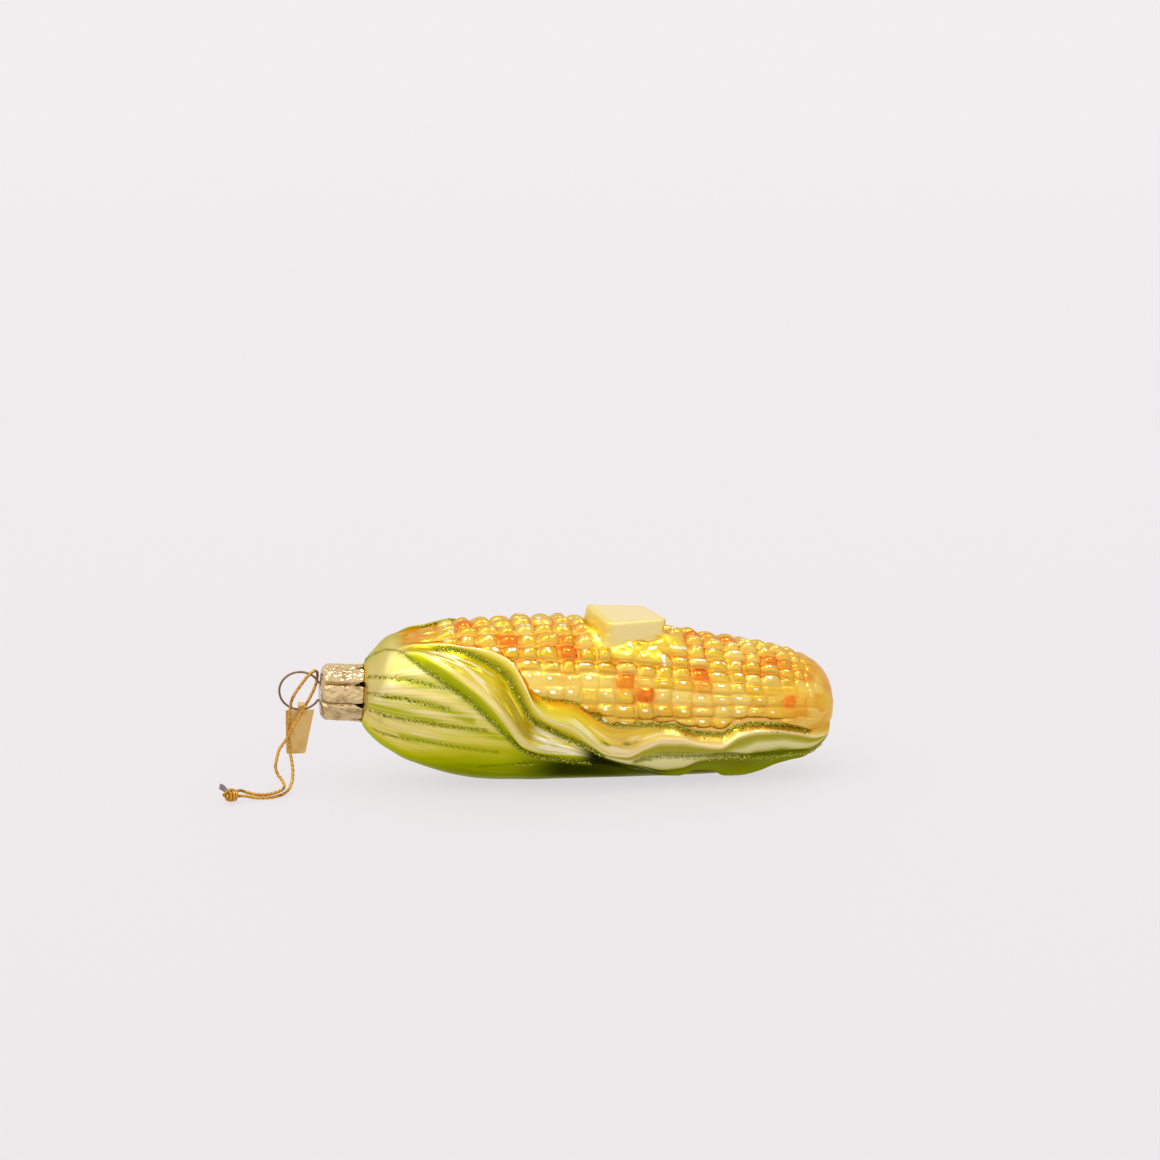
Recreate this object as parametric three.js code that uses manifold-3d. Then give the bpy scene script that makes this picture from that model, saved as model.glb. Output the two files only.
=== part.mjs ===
// A mouth-blown glass tree ornament shaped as an ear of corn in its husk, with a pat of butter on it.
// It lies on its belly with the hanger at -X. Millimetres, +Z up, the surface it lies on at z = 0.
import * as THREE from 'three';
import Module from 'manifold-3d';
import { ParametricGeometry } from 'three/addons/geometries/ParametricGeometry.js';
import { mergeVertices } from 'three/addons/utils/BufferGeometryUtils.js';

const wasm = await Module();
wasm.setup();

const { degToRad, lerp, inverseLerp, clamp, smoothstep } = THREE.MathUtils;

// ---- Driving dimensions -------------------------------------------------------------------------

// The ear's axis starts where the cap's skirt ends and falls towards the tip.
const AXIS_START = new THREE.Vector3(-49.6, 0, 23.2);
const AXIS_TILT = degToRad(3.4);
const EAR_LENGTH = 119.2;
const HUSK_LENGTH = 118.6;

// The neck, hidden in the cap, sits a little under the ear's axis.
const NECK_DROP = 0.5;
const NECK_DROP_END = 15;
const NECK_LENGTH = 8.3;
const NECK_RADIUS = 5.4;
const WALL = 1.15;

// Kernels stand in rings along the axis and in rows around it.
const RING_PITCH = 4.7;
const ROW_PITCH = 12; // degrees
const KERNEL_RISE = 1.2;
const FIRST_RING = 6.5;

// The husk opens on top of the ear. Angles are from straight up, positive towards the front.
const OPENING_CENTRE = 12;
const BACK_SHIFT = 5; // the back leaf's folds come this much nearer the tip
const BACK_SLIP = [[14, 0], [20, 8], [26, 20], [50, 20], [75, 4], [119, 0]]; // and that much lower, in degrees

// The butter pat.
const PAT_LENGTH = 15.4;
const PAT_WIDTH = 13.3;
const PAT_TOP = 22.75; // from the ear's axis
const PAT_BASE = 17.0;
const PAT_ALONG = 64.5;
const PAT_ACROSS = 1.2; // towards the front
const PAT_LEAN = 8; // degrees, towards the front
const PAT_TURN = 16; // degrees, about its own normal
const PAT_BEVEL = 0.8;

// The stamped metal cap.
const CAP_LOBES = 8;
const CAP_TURN = 16; // degrees from straight up to the first valley
const CAP_RADIUS = 7.0;
const CAP_SHEET = 0.35;
const CAP_VALLEY = 0.5;
const CAP_SCALLOP = 1.6;
const CAP_SKIRT_END = -0.2;
const HANGER_HOLE_RADIUS = 0.7;
const HANGER_HOLE_OFFSET = 2.25;

// The spring-wire hanger: an oval loop outside the cap and two legs that spread inside the neck.
const WIRE_RADIUS = 0.28;
const LOOP_CENTRE = -14.75;
const LOOP_HALF_LENGTH = 5.1;
const LOOP_HALF_HEIGHT = 4.7;
const LOOP_GAP = 28; // degrees each side of the axis where the loop turns in to the cap
const LOOP_STEP = 19;

// The tag, hooked over the bottom of the loop by a curled tab.
const TAG_HEIGHT = 10.95;
const TAG_TOP_WIDTH = 7.05;
const TAG_BOTTOM_WIDTH = 4.65;
const TAG_CORNER = 0.5;
const TAG_SHEET = 0.3;
const TAG_OFFSET = 0.15; // towards the cap
const TAB_WIDTH = 1.6;
const TAB_OFFSET = 0.5;
const TAB_INNER_RADIUS = 0.62;
const TAB_RISE = 0.85; // the bend's centre over the wire
const TAB_DROP = 0.2; // the back leg ends this much under the wire, open below, so that the tag lifts off

// The cord and the knot that closes it into a loop.
const CORD_RADIUS = 0.4;
const CORD_STEPS = 80;
const KNOT_CENTRE = new THREE.Vector3(-81.8, -18.2, 1.9);
const KNOT_RADIUS = 1.85;
const TAIL_LENGTH = 4.2;
const TAIL_RADIUS = 0.45;

// ---- Profiles along the axis: [distance from the cap, value] --------------------------------------

const HUSK_RADIUS = [
  [-8.3, 5.4], [-0.4, 5.4], [0.4, 7.2], [3, 10.5], [6, 13.0], [9, 14.5], [12, 15.9], [15.5, 17.1], [18.5, 18.0],
  [21.5, 18.8], [24.5, 19.4], [30, 20.1], [36, 20.6], [42, 20.75], [48, 20.5], [56, 20.1], [64, 19.6],
  [72, 19.1], [80, 18.6], [88, 18.0], [95, 17.3], [100, 16.6], [104, 15.4], [108, 14.0], [112, 12.9],
  [115.5, 11.0], [117.5, 8.6], [118.6, 0],
];
const EAR_RADIUS = [
  [3, 8], [6, 12.4], [9, 14.6], [12, 16.2], [17, 17.4], [20, 18.1], [24, 19.0], [32, 19.8], [40, 20.6],
  [48, 21.0], [56, 20.9], [64, 20.4], [72, 19.6], [80, 18.7], [88, 17.7], [96, 16.8], [104, 15.6],
  [109, 14.7], [112.5, 13.6], [115.3, 11.9], [117.4, 9.3], [118.7, 5.6], [119.2, 0],
];

// ---- The husk's front folds: [distance from the cap, degrees from straight up] ---------------------

const HUSK_EDGE = [
  [0, 24], [8, 27], [15, 30], [20, 35], [24, 42], [30, 46], [34, 52], [37, 62], [40, 75], [45, 80], [50, 81], [56, 91],
  [62, 98], [75, 98], [83, 104], [88, 105], [92, 99], [97, 96], [104, 99], [112, 108],
];
const RIM_CREST = [
  [0, 44], [9, 32], [16, 35], [20, 39], [24, 44], [30, 49], [35, 57], [38, 69], [41, 85], [44, 92], [50, 97], [55, 107],
  [60, 118], [65, 121], [70, 113], [75, 104], [80, 109], [86, 117], [91, 109], [96, 103], [104, 106],
  [110, 112], [117, 122],
];
const RIM_FOOT = [
  [0, 64], [9, 36], [14, 38], [20, 43], [25, 49], [30, 57], [34, 66], [37, 79], [40, 93], [45, 101], [50, 108], [55, 114],
  [60, 122], [65, 128], [70, 133], [75, 139], [79, 139], [83, 129], [87, 130], [91, 144], [96, 150], [100, 142],
  [104, 136], [108, 139], [112, 142], [115, 133], [117, 126],
];
const FOLD_CREST = [
  [0, 84], [9, 40], [13, 44], [17, 54], [22, 66], [27, 77], [31, 87], [35, 100], [39, 112], [44, 116], [50, 118],
  [55, 122], [60, 128], [65, 133], [70, 138], [75, 144], [79, 144], [83, 135], [87, 136], [91, 149], [96, 155],
  [100, 148], [104, 142], [108, 145], [112, 148], [115, 140], [117, 133],
];
const FOLD_FOOT = [
  [0, 104], [9, 44], [15, 60], [20, 73], [25, 83], [30, 95], [35, 108], [40, 120], [44, 124],
  [50, 127], [55, 130], [60, 134], [65, 139], [70, 144], [75, 149], [79, 149], [83, 141], [87, 142], [91, 154],
  [96, 159], [100, 153], [104, 148], [108, 151], [112, 153], [115, 146], [117, 140],
];
// How far each of those lines stands out from the husk.
const RIM_CREST_RISE = [[14, 0], [22, 0.8], [30, 1.6], [45, 1.9], [60, 2.2], [85, 2.2], [104, 1.8], [112, 1.2], [117, 0.4]];
const RIM_FOOT_RISE = [[14, 0], [30, 0.2], [50, 0.4], [60, 1.6], [68, 2.0], [85, 1.9], [93, 1.2], [104, 1.2], [112, 0.8], [117, 0.3]];
const FOLD_CREST_RISE = [[8, 0], [14, 0.6], [22, 1.2], [48, 1.4], [58, 0.4], [64, 0], [117, 0]];
const EDGE_SINK = 0.6;
const HIDDEN_SINK = 1.9; // under the kernels
const HIDDEN_MARGIN = 8; // degrees between the husk's edge and where it is fully under the kernels

// ---- Where the surfaces are sampled --------------------------------------------------------------

const HUSK_STATIONS = [-NECK_LENGTH, -NECK_LENGTH, -0.4, 0.4, 1.7, 3, 4.5, 6, 8, 10, 12, 14.5, 17]
  .concat(Array.from({ length: 32 }, (_, i) => 20 + 3 * i), [115, 117, 118.1, HUSK_LENGTH]);
const BELLY_COLUMNS = 5;
const EAR_COLUMN = ROW_PITCH / 2;
const EAR_FIRST_COLUMN = -105;
const EAR_LAST_COLUMN = 129;
const EAR_HIDDEN_COLUMNS = 6;
const CAVITY_STATIONS = [-NECK_LENGTH - 1, -NECK_LENGTH - 1, -0.4, 1, 2.7, 5, 8, 11, 14, 18, 24, 32, 40, 48, 56, 64, 72,
  80, 88, 96, 103, 109, 113.5, 116, 117];
const CAVITY_COLUMNS = 20;
const CAVITY_FIRST_COLUMN = -163;

// The cord's centre line: from the knot up the front run, over the hanger's loop, and down the back run.
const CORD_LINE = [
  [-80.0, -16.9, 1.7], [-78.4, -16.4, 1.3], [-75.9, -16.0, 0.7], [-72.4, -15.3, 0.5], [-69.5, -12.9, 0.55],
  [-67.8, -10.8, 1.4], [-67.0, -9.2, 2.8], [-66.7, -7.6, 4.6], [-66.8, -6.0, 6.8], [-67.2, -4.6, 9.2],
  [-67.4, -3.6, 11.5], [-67.6, -3.0, 14.2], [-67.3, -2.8, 16.9], [-66.9, -2.6, 19.9], [-66.5, -2.5, 21.8],
  [-65.4, -2.3, 23.8], [-63.9, -2.0, 25.8], [-62.6, -1.8, 27.4], [-61.7, -1.5, 28.2], [-61.0, -1.2, 28.6],
  [-60.5, -0.6, 28.6], [-60.1, 0.1, 28.1], [-60.0, 0.8, 27.3], [-60.1, 1.15, 26.4], [-60.25, 1.1, 25.6],
  [-60.4, 0.7, 25.0], [-60.7, 0.1, 24.4], [-61.1, -0.6, 23.6], [-61.6, -1.1, 22.8], [-62.2, -1.7, 21.8],
  [-62.9, -2.2, 20.8], [-63.5, -2.7, 19.8], [-64.5, -3.3, 18.4], [-65.4, -4.0, 16.9], [-66.5, -4.6, 15.3],
  [-67.3, -4.9, 14.0], [-68.0, -5.2, 12.7], [-68.9, -5.5, 11.5], [-69.9, -5.9, 10.1], [-70.6, -7.0, 7.9],
  [-70.9, -8.0, 6.1], [-70.3, -8.9, 4.5], [-69.3, -9.9, 3.2], [-69.0, -11.2, 2.1], [-70.2, -12.4, 1.5],
  [-73.0, -13.9, 1.1], [-75.9, -14.8, 1.3], [-78.2, -15.3, 2.0], [-79.7, -15.9, 2.6],
];

// ---- Materials -----------------------------------------------------------------------------------

const finish = (color, roughness, metalness) => new THREE.MeshStandardMaterial({ color, roughness, metalness });
const LACQUERED_GLASS = finish(0xc9c24e, 0.18, 0.35);
const GILT_TINPLATE = finish(0xd9c27a, 0.28, 1);
const BRONZED_WIRE = finish(0x6a5240, 0.35, 1);
const BRASS_TAG = finish(0xd2a64a, 0.35, 1);
const GOLD_CORD = finish(0xc99a2e, 0.45, 0.6);

// ---- Helpers ---------------------------------------------------------------------------------------

/** The value at a distance along the axis, on straight lines between a profile's points. */
function along(profile, distance) {
  const next = profile.findIndex(([at]) => at >= distance);
  if (next === 0) return profile[0][1];
  if (next < 0) return profile[profile.length - 1][1];
  const [[from, low], [to, high]] = [profile[next - 1], profile[next]];
  return lerp(low, high, inverseLerp(from, to, distance));
}

const ALONG = new THREE.Vector3(Math.cos(AXIS_TILT), 0, -Math.sin(AXIS_TILT));
const UPWARD = new THREE.Vector3(Math.sin(AXIS_TILT), 0, Math.cos(AXIS_TILT));
const FRONTWARD = new THREE.Vector3(0, -1, 0);

/** A point around the ear's axis; the angle is in degrees from straight up, positive towards the front. */
function around(distance, angle, radius, target = new THREE.Vector3()) {
  const turn = degToRad(angle);
  const drop = NECK_DROP * (1 - smoothstep(distance, 0, NECK_DROP_END));
  return target.copy(AXIS_START)
    .addScaledVector(ALONG, distance)
    .addScaledVector(UPWARD, radius * Math.cos(turn) - drop)
    .addScaledVector(FRONTWARD, radius * Math.sin(turn));
}

/** A closed geometry as a manifold solid. */
function solid(geometry) {
  const bare = geometry.clone();
  bare.deleteAttribute('normal');
  bare.deleteAttribute('uv');
  const merged = mergeVertices(bare, 1e-4);
  const corners = Array.from(merged.index.array);
  const kept = [];
  for (let i = 0; i < corners.length; i += 3) {
    const [a, b, c] = corners.slice(i, i + 3);
    if (a !== b && b !== c && c !== a) kept.push(a, b, c);
  }
  return new wasm.Manifold(new wasm.Mesh({
    numProp: 3,
    vertProperties: new Float32Array(merged.attributes.position.array),
    triVerts: new Uint32Array(kept),
  }));
}

/** A manifold solid as a geometry. */
function geometryOf(manifold) {
  const mesh = manifold.getMesh();
  const geometry = new THREE.BufferGeometry();
  geometry.setAttribute('position', new THREE.BufferAttribute(mesh.vertProperties, 3));
  geometry.setIndex(new THREE.BufferAttribute(mesh.triVerts, 1));
  return geometry;
}

function named(name, geometry, material) {
  const mesh = new THREE.Mesh(geometry, material);
  mesh.name = name;
  return mesh;
}

/** A closed skin around the axis: columnsAt(station) gives its angles and radiusAt its radii; the ends are closed. */
function skin(stations, columnsAt, radiusAt) {
  const rows = stations.map((distance, i) => {
    const end = i === 0 || i === stations.length - 1;
    return columnsAt(distance).map((angle) => around(distance, angle, end ? 0 : radiusAt(distance, angle, i)));
  });
  const slices = rows[0].length;
  const point = (u, v, target) => {
    const row = rows[Math.round(v * (rows.length - 1))];
    target.copy(row[Math.round(u * slices) % slices]);
  };
  return new ParametricGeometry(point, slices, rows.length - 1);
}

/** A tube with closed ends along a curve. */
function tube(points, radius, sides, steps) {
  const section = new THREE.Shape(new THREE.Path().absarc(0, 0, radius, 0, 2 * Math.PI).getPoints(sides).slice(0, -1));
  const extrudePath = new THREE.CatmullRomCurve3(points, false, 'centripetal');
  return new THREE.ExtrudeGeometry(section, { steps, extrudePath });
}

// ---- The blown glass --------------------------------------------------------------------------------

/** How far a husk line is from the opening's centre, in degrees, on the front or the back leaf. */
function fromOpening(line, distance, back) {
  return back
    ? along(line, distance - BACK_SHIFT) - OPENING_CENTRE + along(BACK_SLIP, distance)
    : along(line, distance) - OPENING_CENTRE;
}

/** A leaf's fold lines at a distance along the axis, as angles from the opening's centre, with their radii. */
function foldLines(distance, back) {
  const at = back ? distance - BACK_SHIFT : distance;
  const base = along(HUSK_RADIUS, distance);
  const edge = fromOpening(HUSK_EDGE, distance, back);
  return [
    [0, base - HIDDEN_SINK],
    [Math.max(edge - HIDDEN_MARGIN, 1), base - HIDDEN_SINK],
    [edge, base - EDGE_SINK],
    [fromOpening(RIM_CREST, distance, back), base + along(RIM_CREST_RISE, at)],
    [fromOpening(RIM_FOOT, distance, back), base + along(RIM_FOOT_RISE, at)],
    [fromOpening(FOLD_CREST, distance, back), base + along(FOLD_CREST_RISE, at)],
    [fromOpening(FOLD_FOOT, distance, back), base],
    [180, base],
  ];
}

/** One side's angles from the opening's centre: its fold lines, a point between each pair, and the belly. */
function sideAngles(distance, back) {
  const lines = foldLines(distance, back).map(([angle]) => angle);
  const angles = [0];
  for (let i = 1; i < lines.length - 1; i++) {
    if (i > 2) angles.push((lines[i - 1] + lines[i]) / 2);
    angles.push(lines[i]);
  }
  const foot = lines[lines.length - 2];
  for (let i = 1; i <= BELLY_COLUMNS; i++) angles.push(lerp(foot, 180, i / BELLY_COLUMNS));
  return angles;
}

function huskColumns(distance) {
  const front = sideAngles(distance, false).slice(0, -1).map((angle) => OPENING_CENTRE + angle);
  const back = sideAngles(distance, true).slice(1).map((angle) => OPENING_CENTRE - angle).reverse();
  return back.concat(front);
}

function huskRadius(distance, angle) {
  const base = along(HUSK_RADIUS, distance);
  if (distance < FIRST_RING) return base;
  const lines = foldLines(distance, angle < OPENING_CENTRE);
  const from = Math.abs(angle - OPENING_CENTRE);
  const next = Math.max(1, lines.findIndex(([at]) => at >= from - 1e-9));
  const [[low, lowRadius], [high, highRadius]] = [lines[next - 1], lines[next]];
  return lerp(lowRadius, highRadius, smoothstep(clamp(from, low, high), low, high));
}

function earStations() {
  const rings = [FIRST_RING - 2, FIRST_RING - 2];
  for (let at = FIRST_RING; at < EAR_LENGTH - 5; at += RING_PITCH / 2) rings.push(at);
  return rings.concat([116.5, 118.4, 119.4, EAR_LENGTH]);
}

function earColumns() {
  const angles = [];
  for (let angle = EAR_FIRST_COLUMN; angle <= EAR_LAST_COLUMN; angle += EAR_COLUMN) angles.push(angle);
  const hidden = (360 - (EAR_LAST_COLUMN - EAR_FIRST_COLUMN)) / EAR_HIDDEN_COLUMNS;
  for (let i = 1; i < EAR_HIDDEN_COLUMNS; i++) angles.push(EAR_LAST_COLUMN + i * hidden);
  return angles;
}

/** Kernels are crests where an odd ring meets an odd column; where the husk covers the ear it is smaller. */
function earRadius(distance, angle, ring) {
  const crest = along(EAR_RADIUS, distance);
  if (angle > EAR_LAST_COLUMN) return crest - HIDDEN_SINK;
  const column = Math.round((angle - EAR_FIRST_COLUMN) / EAR_COLUMN);
  const covered = Math.abs(angle - OPENING_CENTRE) - fromOpening(HUSK_EDGE, distance, angle < OPENING_CENTRE);
  const sink = HIDDEN_SINK * smoothstep(covered, 0, 2 * EAR_COLUMN);
  const kernel = ring % 2 === 1 && column % 2 === 1 ? 0 : KERNEL_RISE;
  return crest - Math.max(sink, kernel);
}

function cavityRadius(distance, angle) {
  const belly = along(HUSK_RADIUS, Math.min(distance, HUSK_LENGTH - 3)) - WALL;
  if (distance < FIRST_RING) return belly;
  const edge = fromOpening(HUSK_EDGE, distance, false);
  const opening = 1 - smoothstep(Math.abs(angle - OPENING_CENTRE), edge, edge + 25);
  const underKernels = along(EAR_RADIUS, distance) - KERNEL_RISE - WALL;
  return Math.min(belly, lerp(belly, underKernels, opening)) - (distance > 112 ? 1.2 : 0);
}

/** A block with bevelled edges, standing on the ear where the pat is, its sides drawn in by the inset. */
function patBlock(inset, base, top, bevel) {
  const x = PAT_LENGTH / 2 - inset - bevel;
  const y = PAT_WIDTH / 2 - inset - bevel;
  const outline = new THREE.Shape([
    new THREE.Vector2(-x, -y), new THREE.Vector2(x, -y), new THREE.Vector2(x, y), new THREE.Vector2(-x, y),
  ]);
  const depth = top - base - 2 * bevel;
  const block = new THREE.ExtrudeGeometry(outline, {
    depth, bevelEnabled: bevel > 0, bevelThickness: bevel, bevelSize: bevel, bevelSegments: 2,
  });
  block.translate(0, 0, base + bevel);
  const lean = new THREE.Matrix4().makeRotationX(degToRad(PAT_LEAN));
  const turn = new THREE.Matrix4().makeRotationZ(degToRad(PAT_TURN)).setPosition(PAT_ALONG, -PAT_ACROSS, 0);
  const axis = new THREE.Matrix4().makeRotationY(AXIS_TILT).setPosition(AXIS_START);
  return block.applyMatrix4(turn).applyMatrix4(lean).applyMatrix4(axis);
}

function glassBody() {
  const cavityAngles = Array.from({ length: CAVITY_COLUMNS }, (_, i) => CAVITY_FIRST_COLUMN + (i * 360) / CAVITY_COLUMNS);
  const husk = solid(skin(HUSK_STATIONS, huskColumns, huskRadius));
  const ear = solid(skin(earStations(), earColumns, earRadius));
  const cavity = solid(skin(CAVITY_STATIONS, () => cavityAngles, cavityRadius));
  const pat = solid(patBlock(0, PAT_BASE, PAT_TOP, PAT_BEVEL));
  const patHollow = solid(patBlock(WALL, PAT_BASE - 4, PAT_TOP - WALL, 0));
  const aboveSurface = solid(new THREE.BoxGeometry(300, 100, 100).translate(0, 0, 50));
  const shell = husk.add(ear).add(pat).subtract(cavity.add(patHollow)).intersect(aboveSurface);
  return named('glass_body', geometryOf(shell), LACQUERED_GLASS);
}

// ---- The cap ------------------------------------------------------------------------------------------

/** The cap's closed section from the middle of its end, out along its outside and back inside: [along, radius, wall]. */
const CAP_SECTION = [
  [-10.2, 0, 0], [-10.05, 2.6, 0], [-9.75, 5.2, 0], [-9.35, 6.2, 0.5], [-8.5, CAP_RADIUS - 0.1, 1],
  [-5, CAP_RADIUS, 1], [CAP_SKIRT_END, CAP_RADIUS, 1], [CAP_SKIRT_END, CAP_RADIUS - CAP_SHEET, 1],
  [-5, CAP_RADIUS - CAP_SHEET, 1], [-8.4, CAP_RADIUS - 0.1 - CAP_SHEET, 1], [-9.1, 5.8, 0.5], [-9.42, 5.1, 0],
  [-9.7, 2.6, 0], [-9.85, 0, 0],
];
const CAP_SECTOR = [0, 4, 11, 22.5, 34, 41]; // degrees across one lobe

function cap() {
  const angles = Array.from({ length: CAP_LOBES }, (_, lobe) => CAP_SECTOR.map((angle) => angle + (lobe * 360) / CAP_LOBES)).flat();
  const point = (u, v, target) => {
    const [at, radius, wall] = CAP_SECTION[Math.round(v * (CAP_SECTION.length - 1))];
    const angle = angles[Math.round(u * angles.length) % angles.length];
    const across = Math.abs(Math.sin(degToRad((angle * CAP_LOBES) / 2))); // 0 in a valley, 1 on a lobe
    const valley = CAP_VALLEY * wall * (1 - smoothstep(across, 0, 0.5));
    const scallop = at === CAP_SKIRT_END ? CAP_SCALLOP * (1 - Math.sqrt(across)) : 0;
    const turn = degToRad(angle + CAP_TURN);
    target.set(at - scallop, -(radius - valley) * Math.sin(turn), (radius - valley) * Math.cos(turn));
  };
  const shell = solid(new ParametricGeometry(point, angles.length, CAP_SECTION.length - 1));
  const hole = (side) => solid(new THREE.CylinderGeometry(HANGER_HOLE_RADIUS, HANGER_HOLE_RADIUS, 4, 10)
    .rotateZ(Math.PI / 2).translate(-10, 0, side * HANGER_HOLE_OFFSET));
  return named('cap', geometryOf(shell.subtract(hole(1)).subtract(hole(-1))), GILT_TINPLATE);
}

/** The neck's own axis, which carries the cap and the hanger. */
const onAxis = new THREE.Group();
onAxis.position.copy(AXIS_START).addScaledVector(UPWARD, -NECK_DROP);
onAxis.rotation.y = AXIS_TILT;

// ---- The wire hanger ----------------------------------------------------------------------------------

function loopPoint(degrees) {
  const turn = degToRad(degrees);
  return new THREE.Vector3(LOOP_CENTRE + LOOP_HALF_LENGTH * Math.cos(turn), 0, LOOP_HALF_HEIGHT * Math.sin(turn));
}

function hangerWire() {
  const leg = [[7, 3.7], [3, 3.5], [-1, 3.2], [-5, 2.8], [-9.3, HANGER_HOLE_OFFSET]];
  const upper = leg.map(([at, offset]) => new THREE.Vector3(at, 0, offset));
  const lower = leg.map(([at, offset]) => new THREE.Vector3(at, 0, -offset)).reverse();
  const loop = [];
  for (let degrees = LOOP_GAP; degrees <= 360 - LOOP_GAP; degrees += LOOP_STEP) loop.push(loopPoint(degrees));
  return named('hanger_wire', tube([...upper, ...loop, ...lower], WIRE_RADIUS, 8, 84), BRONZED_WIRE);
}

// ---- The tag --------------------------------------------------------------------------------------------

/** Seen from the front: straight on the left, drawn in on the right, with rounded lower corners. */
function tagPlate() {
  const left = TAG_OFFSET - TAG_TOP_WIDTH / 2;
  const right = left + TAG_TOP_WIDTH;
  const low = left + TAG_BOTTOM_WIDTH;
  const outline = new THREE.Shape();
  outline.moveTo(left, 0);
  outline.lineTo(left, -TAG_HEIGHT + TAG_CORNER);
  outline.quadraticCurveTo(left, -TAG_HEIGHT, left + TAG_CORNER, -TAG_HEIGHT);
  outline.lineTo(low - TAG_CORNER, -TAG_HEIGHT);
  outline.quadraticCurveTo(low, -TAG_HEIGHT, low + TAG_CORNER / 4, -TAG_HEIGHT + TAG_CORNER);
  outline.lineTo(right, 0);
  return new THREE.ExtrudeGeometry(outline, { depth: TAG_SHEET, bevelEnabled: false, curveSegments: 3 });
}

/** The tab in section: up from the plate, over the wire and down behind it, extruded across the tag. */
function tagTab() {
  const outer = TAB_INNER_RADIUS + TAG_SHEET;
  const section = new THREE.Shape();
  section.moveTo(outer, -TAG_SHEET);
  section.lineTo(outer, TAB_RISE);
  section.absarc(0, TAB_RISE, outer, 0, Math.PI, false);
  section.lineTo(-outer, -TAB_DROP);
  section.lineTo(-TAB_INNER_RADIUS, -TAB_DROP);
  section.absarc(0, TAB_RISE, TAB_INNER_RADIUS, Math.PI, 0, true);
  section.lineTo(TAB_INNER_RADIUS, -TAG_SHEET);
  const tab = new THREE.ExtrudeGeometry(section, { depth: TAB_WIDTH, bevelEnabled: false, curveSegments: 8 });
  // The section's first direction becomes the front, and its depth runs across the tag.
  return tab.translate(0, 0, -TAB_WIDTH / 2).rotateY(-Math.PI / 2).translate(TAB_OFFSET, 0, 0);
}

function tag() {
  const plate = tagPlate().translate(0, 0, TAB_INNER_RADIUS);
  return named('tag', geometryOf(solid(plate).add(solid(tagTab()))), BRASS_TAG);
}

// ---- The cord and its knot ------------------------------------------------------------------------------

function cord() {
  const line = CORD_LINE.map((point) => new THREE.Vector3(...point));
  return named('cord', tube(line, CORD_RADIUS, 8, CORD_STEPS), GOLD_CORD);
}

function knot() {
  const ball = new THREE.IcosahedronGeometry(KNOT_RADIUS, 2).translate(...KNOT_CENTRE.toArray());
  const tails = [[-0.62, 0.1, 0.78], [-0.78, 0.28, 0.56]].map((direction) => {
    const way = new THREE.Vector3(...direction).normalize();
    const tip = KNOT_CENTRE.clone().addScaledVector(way, TAIL_LENGTH);
    return tube([KNOT_CENTRE.clone(), KNOT_CENTRE.clone().lerp(tip, 0.5), tip], TAIL_RADIUS, 8, 2);
  });
  return named('knot', geometryOf(tails.reduce((body, tail) => body.add(solid(tail)), solid(ball))), GOLD_CORD);
}

// ---- Assembly ---------------------------------------------------------------------------------------------

onAxis.add(cap(), hangerWire());

const hooked = new THREE.Group();
hooked.position.copy(loopPoint(-90).applyEuler(onAxis.rotation).add(onAxis.position));
hooked.rotation.x = Math.PI / 2;
hooked.add(tag());

const ornament = new THREE.Group();
ornament.add(glassBody(), onAxis, hooked, cord(), knot());

export default ornament;
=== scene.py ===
"""A mouth-blown glass corn cob ornament with a pat of butter, its metal cap, hanger, tag and cord."""

import logging
import math
from dataclasses import dataclass, field
from enum import Enum

import bpy
import numpy as np
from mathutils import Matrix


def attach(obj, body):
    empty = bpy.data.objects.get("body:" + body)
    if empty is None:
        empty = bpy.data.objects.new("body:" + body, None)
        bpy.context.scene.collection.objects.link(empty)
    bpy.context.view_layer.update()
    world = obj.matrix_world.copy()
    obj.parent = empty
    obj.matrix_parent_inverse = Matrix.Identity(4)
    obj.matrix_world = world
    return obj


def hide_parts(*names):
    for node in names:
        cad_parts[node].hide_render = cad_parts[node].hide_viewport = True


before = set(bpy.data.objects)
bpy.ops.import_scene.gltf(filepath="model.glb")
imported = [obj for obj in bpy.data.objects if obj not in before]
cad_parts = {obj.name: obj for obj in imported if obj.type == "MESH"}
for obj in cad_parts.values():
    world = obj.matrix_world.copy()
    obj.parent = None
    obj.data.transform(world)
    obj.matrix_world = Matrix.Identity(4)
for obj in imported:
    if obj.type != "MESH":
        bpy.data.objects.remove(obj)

LOG = logging.getLogger("ornament")
MM = 0.001
SEED = 11
TABLE_GAP = 0.03  # how far the glass stays above the table, in millimetres
Stops = tuple[tuple[float, str], ...]
Vector = tuple[float, float, float]
Array = np.ndarray
Span = tuple[float, float]
Points = tuple[Span, ...]
Band = tuple[float, float, float, float]
Colour = tuple[float, float, float, float]
Paint = Colour | bpy.types.NodeSocket
Chances = np.random.Generator


def linear(code: str) -> Colour:
    """Turn a hex colour into linear values.

    Args:
        code: Six hex digits.

    Returns:
        Red, green, blue and alpha, from 0 to 1.
    """
    values = [int(code[i : i + 2], 16) / 255 for i in (0, 2, 4)]
    red, green, blue = (v / 12.92 if v <= 0.04045 else ((v + 0.055) / 1.055) ** 2.4 for v in values)
    return red, green, blue, 1.0


def ease(value: Array | float, low: float, high: float) -> Array:
    """Rise smoothly from 0 at low to 1 at high."""
    share = np.clip((value - low) / (high - low), 0.0, 1.0)
    return share * share * (3 - 2 * share)


def band(value: Array | float, span: Band) -> Array:
    """Rise from 0 to 1 over the first two places of a span, and fall back over the last two."""
    return ease(value, *span[:2]) * (1 - ease(value, *span[2:]))


def ridge(away: Array, width: float) -> Array:
    """Give 1 on a line, falling off like a bell with the distance from it."""
    return np.exp(-((away / width) ** 2))


def wrapped(angle: Array) -> Array:
    """Bring degrees within half a turn of 0."""
    return (angle + 180) % 360 - 180


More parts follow.
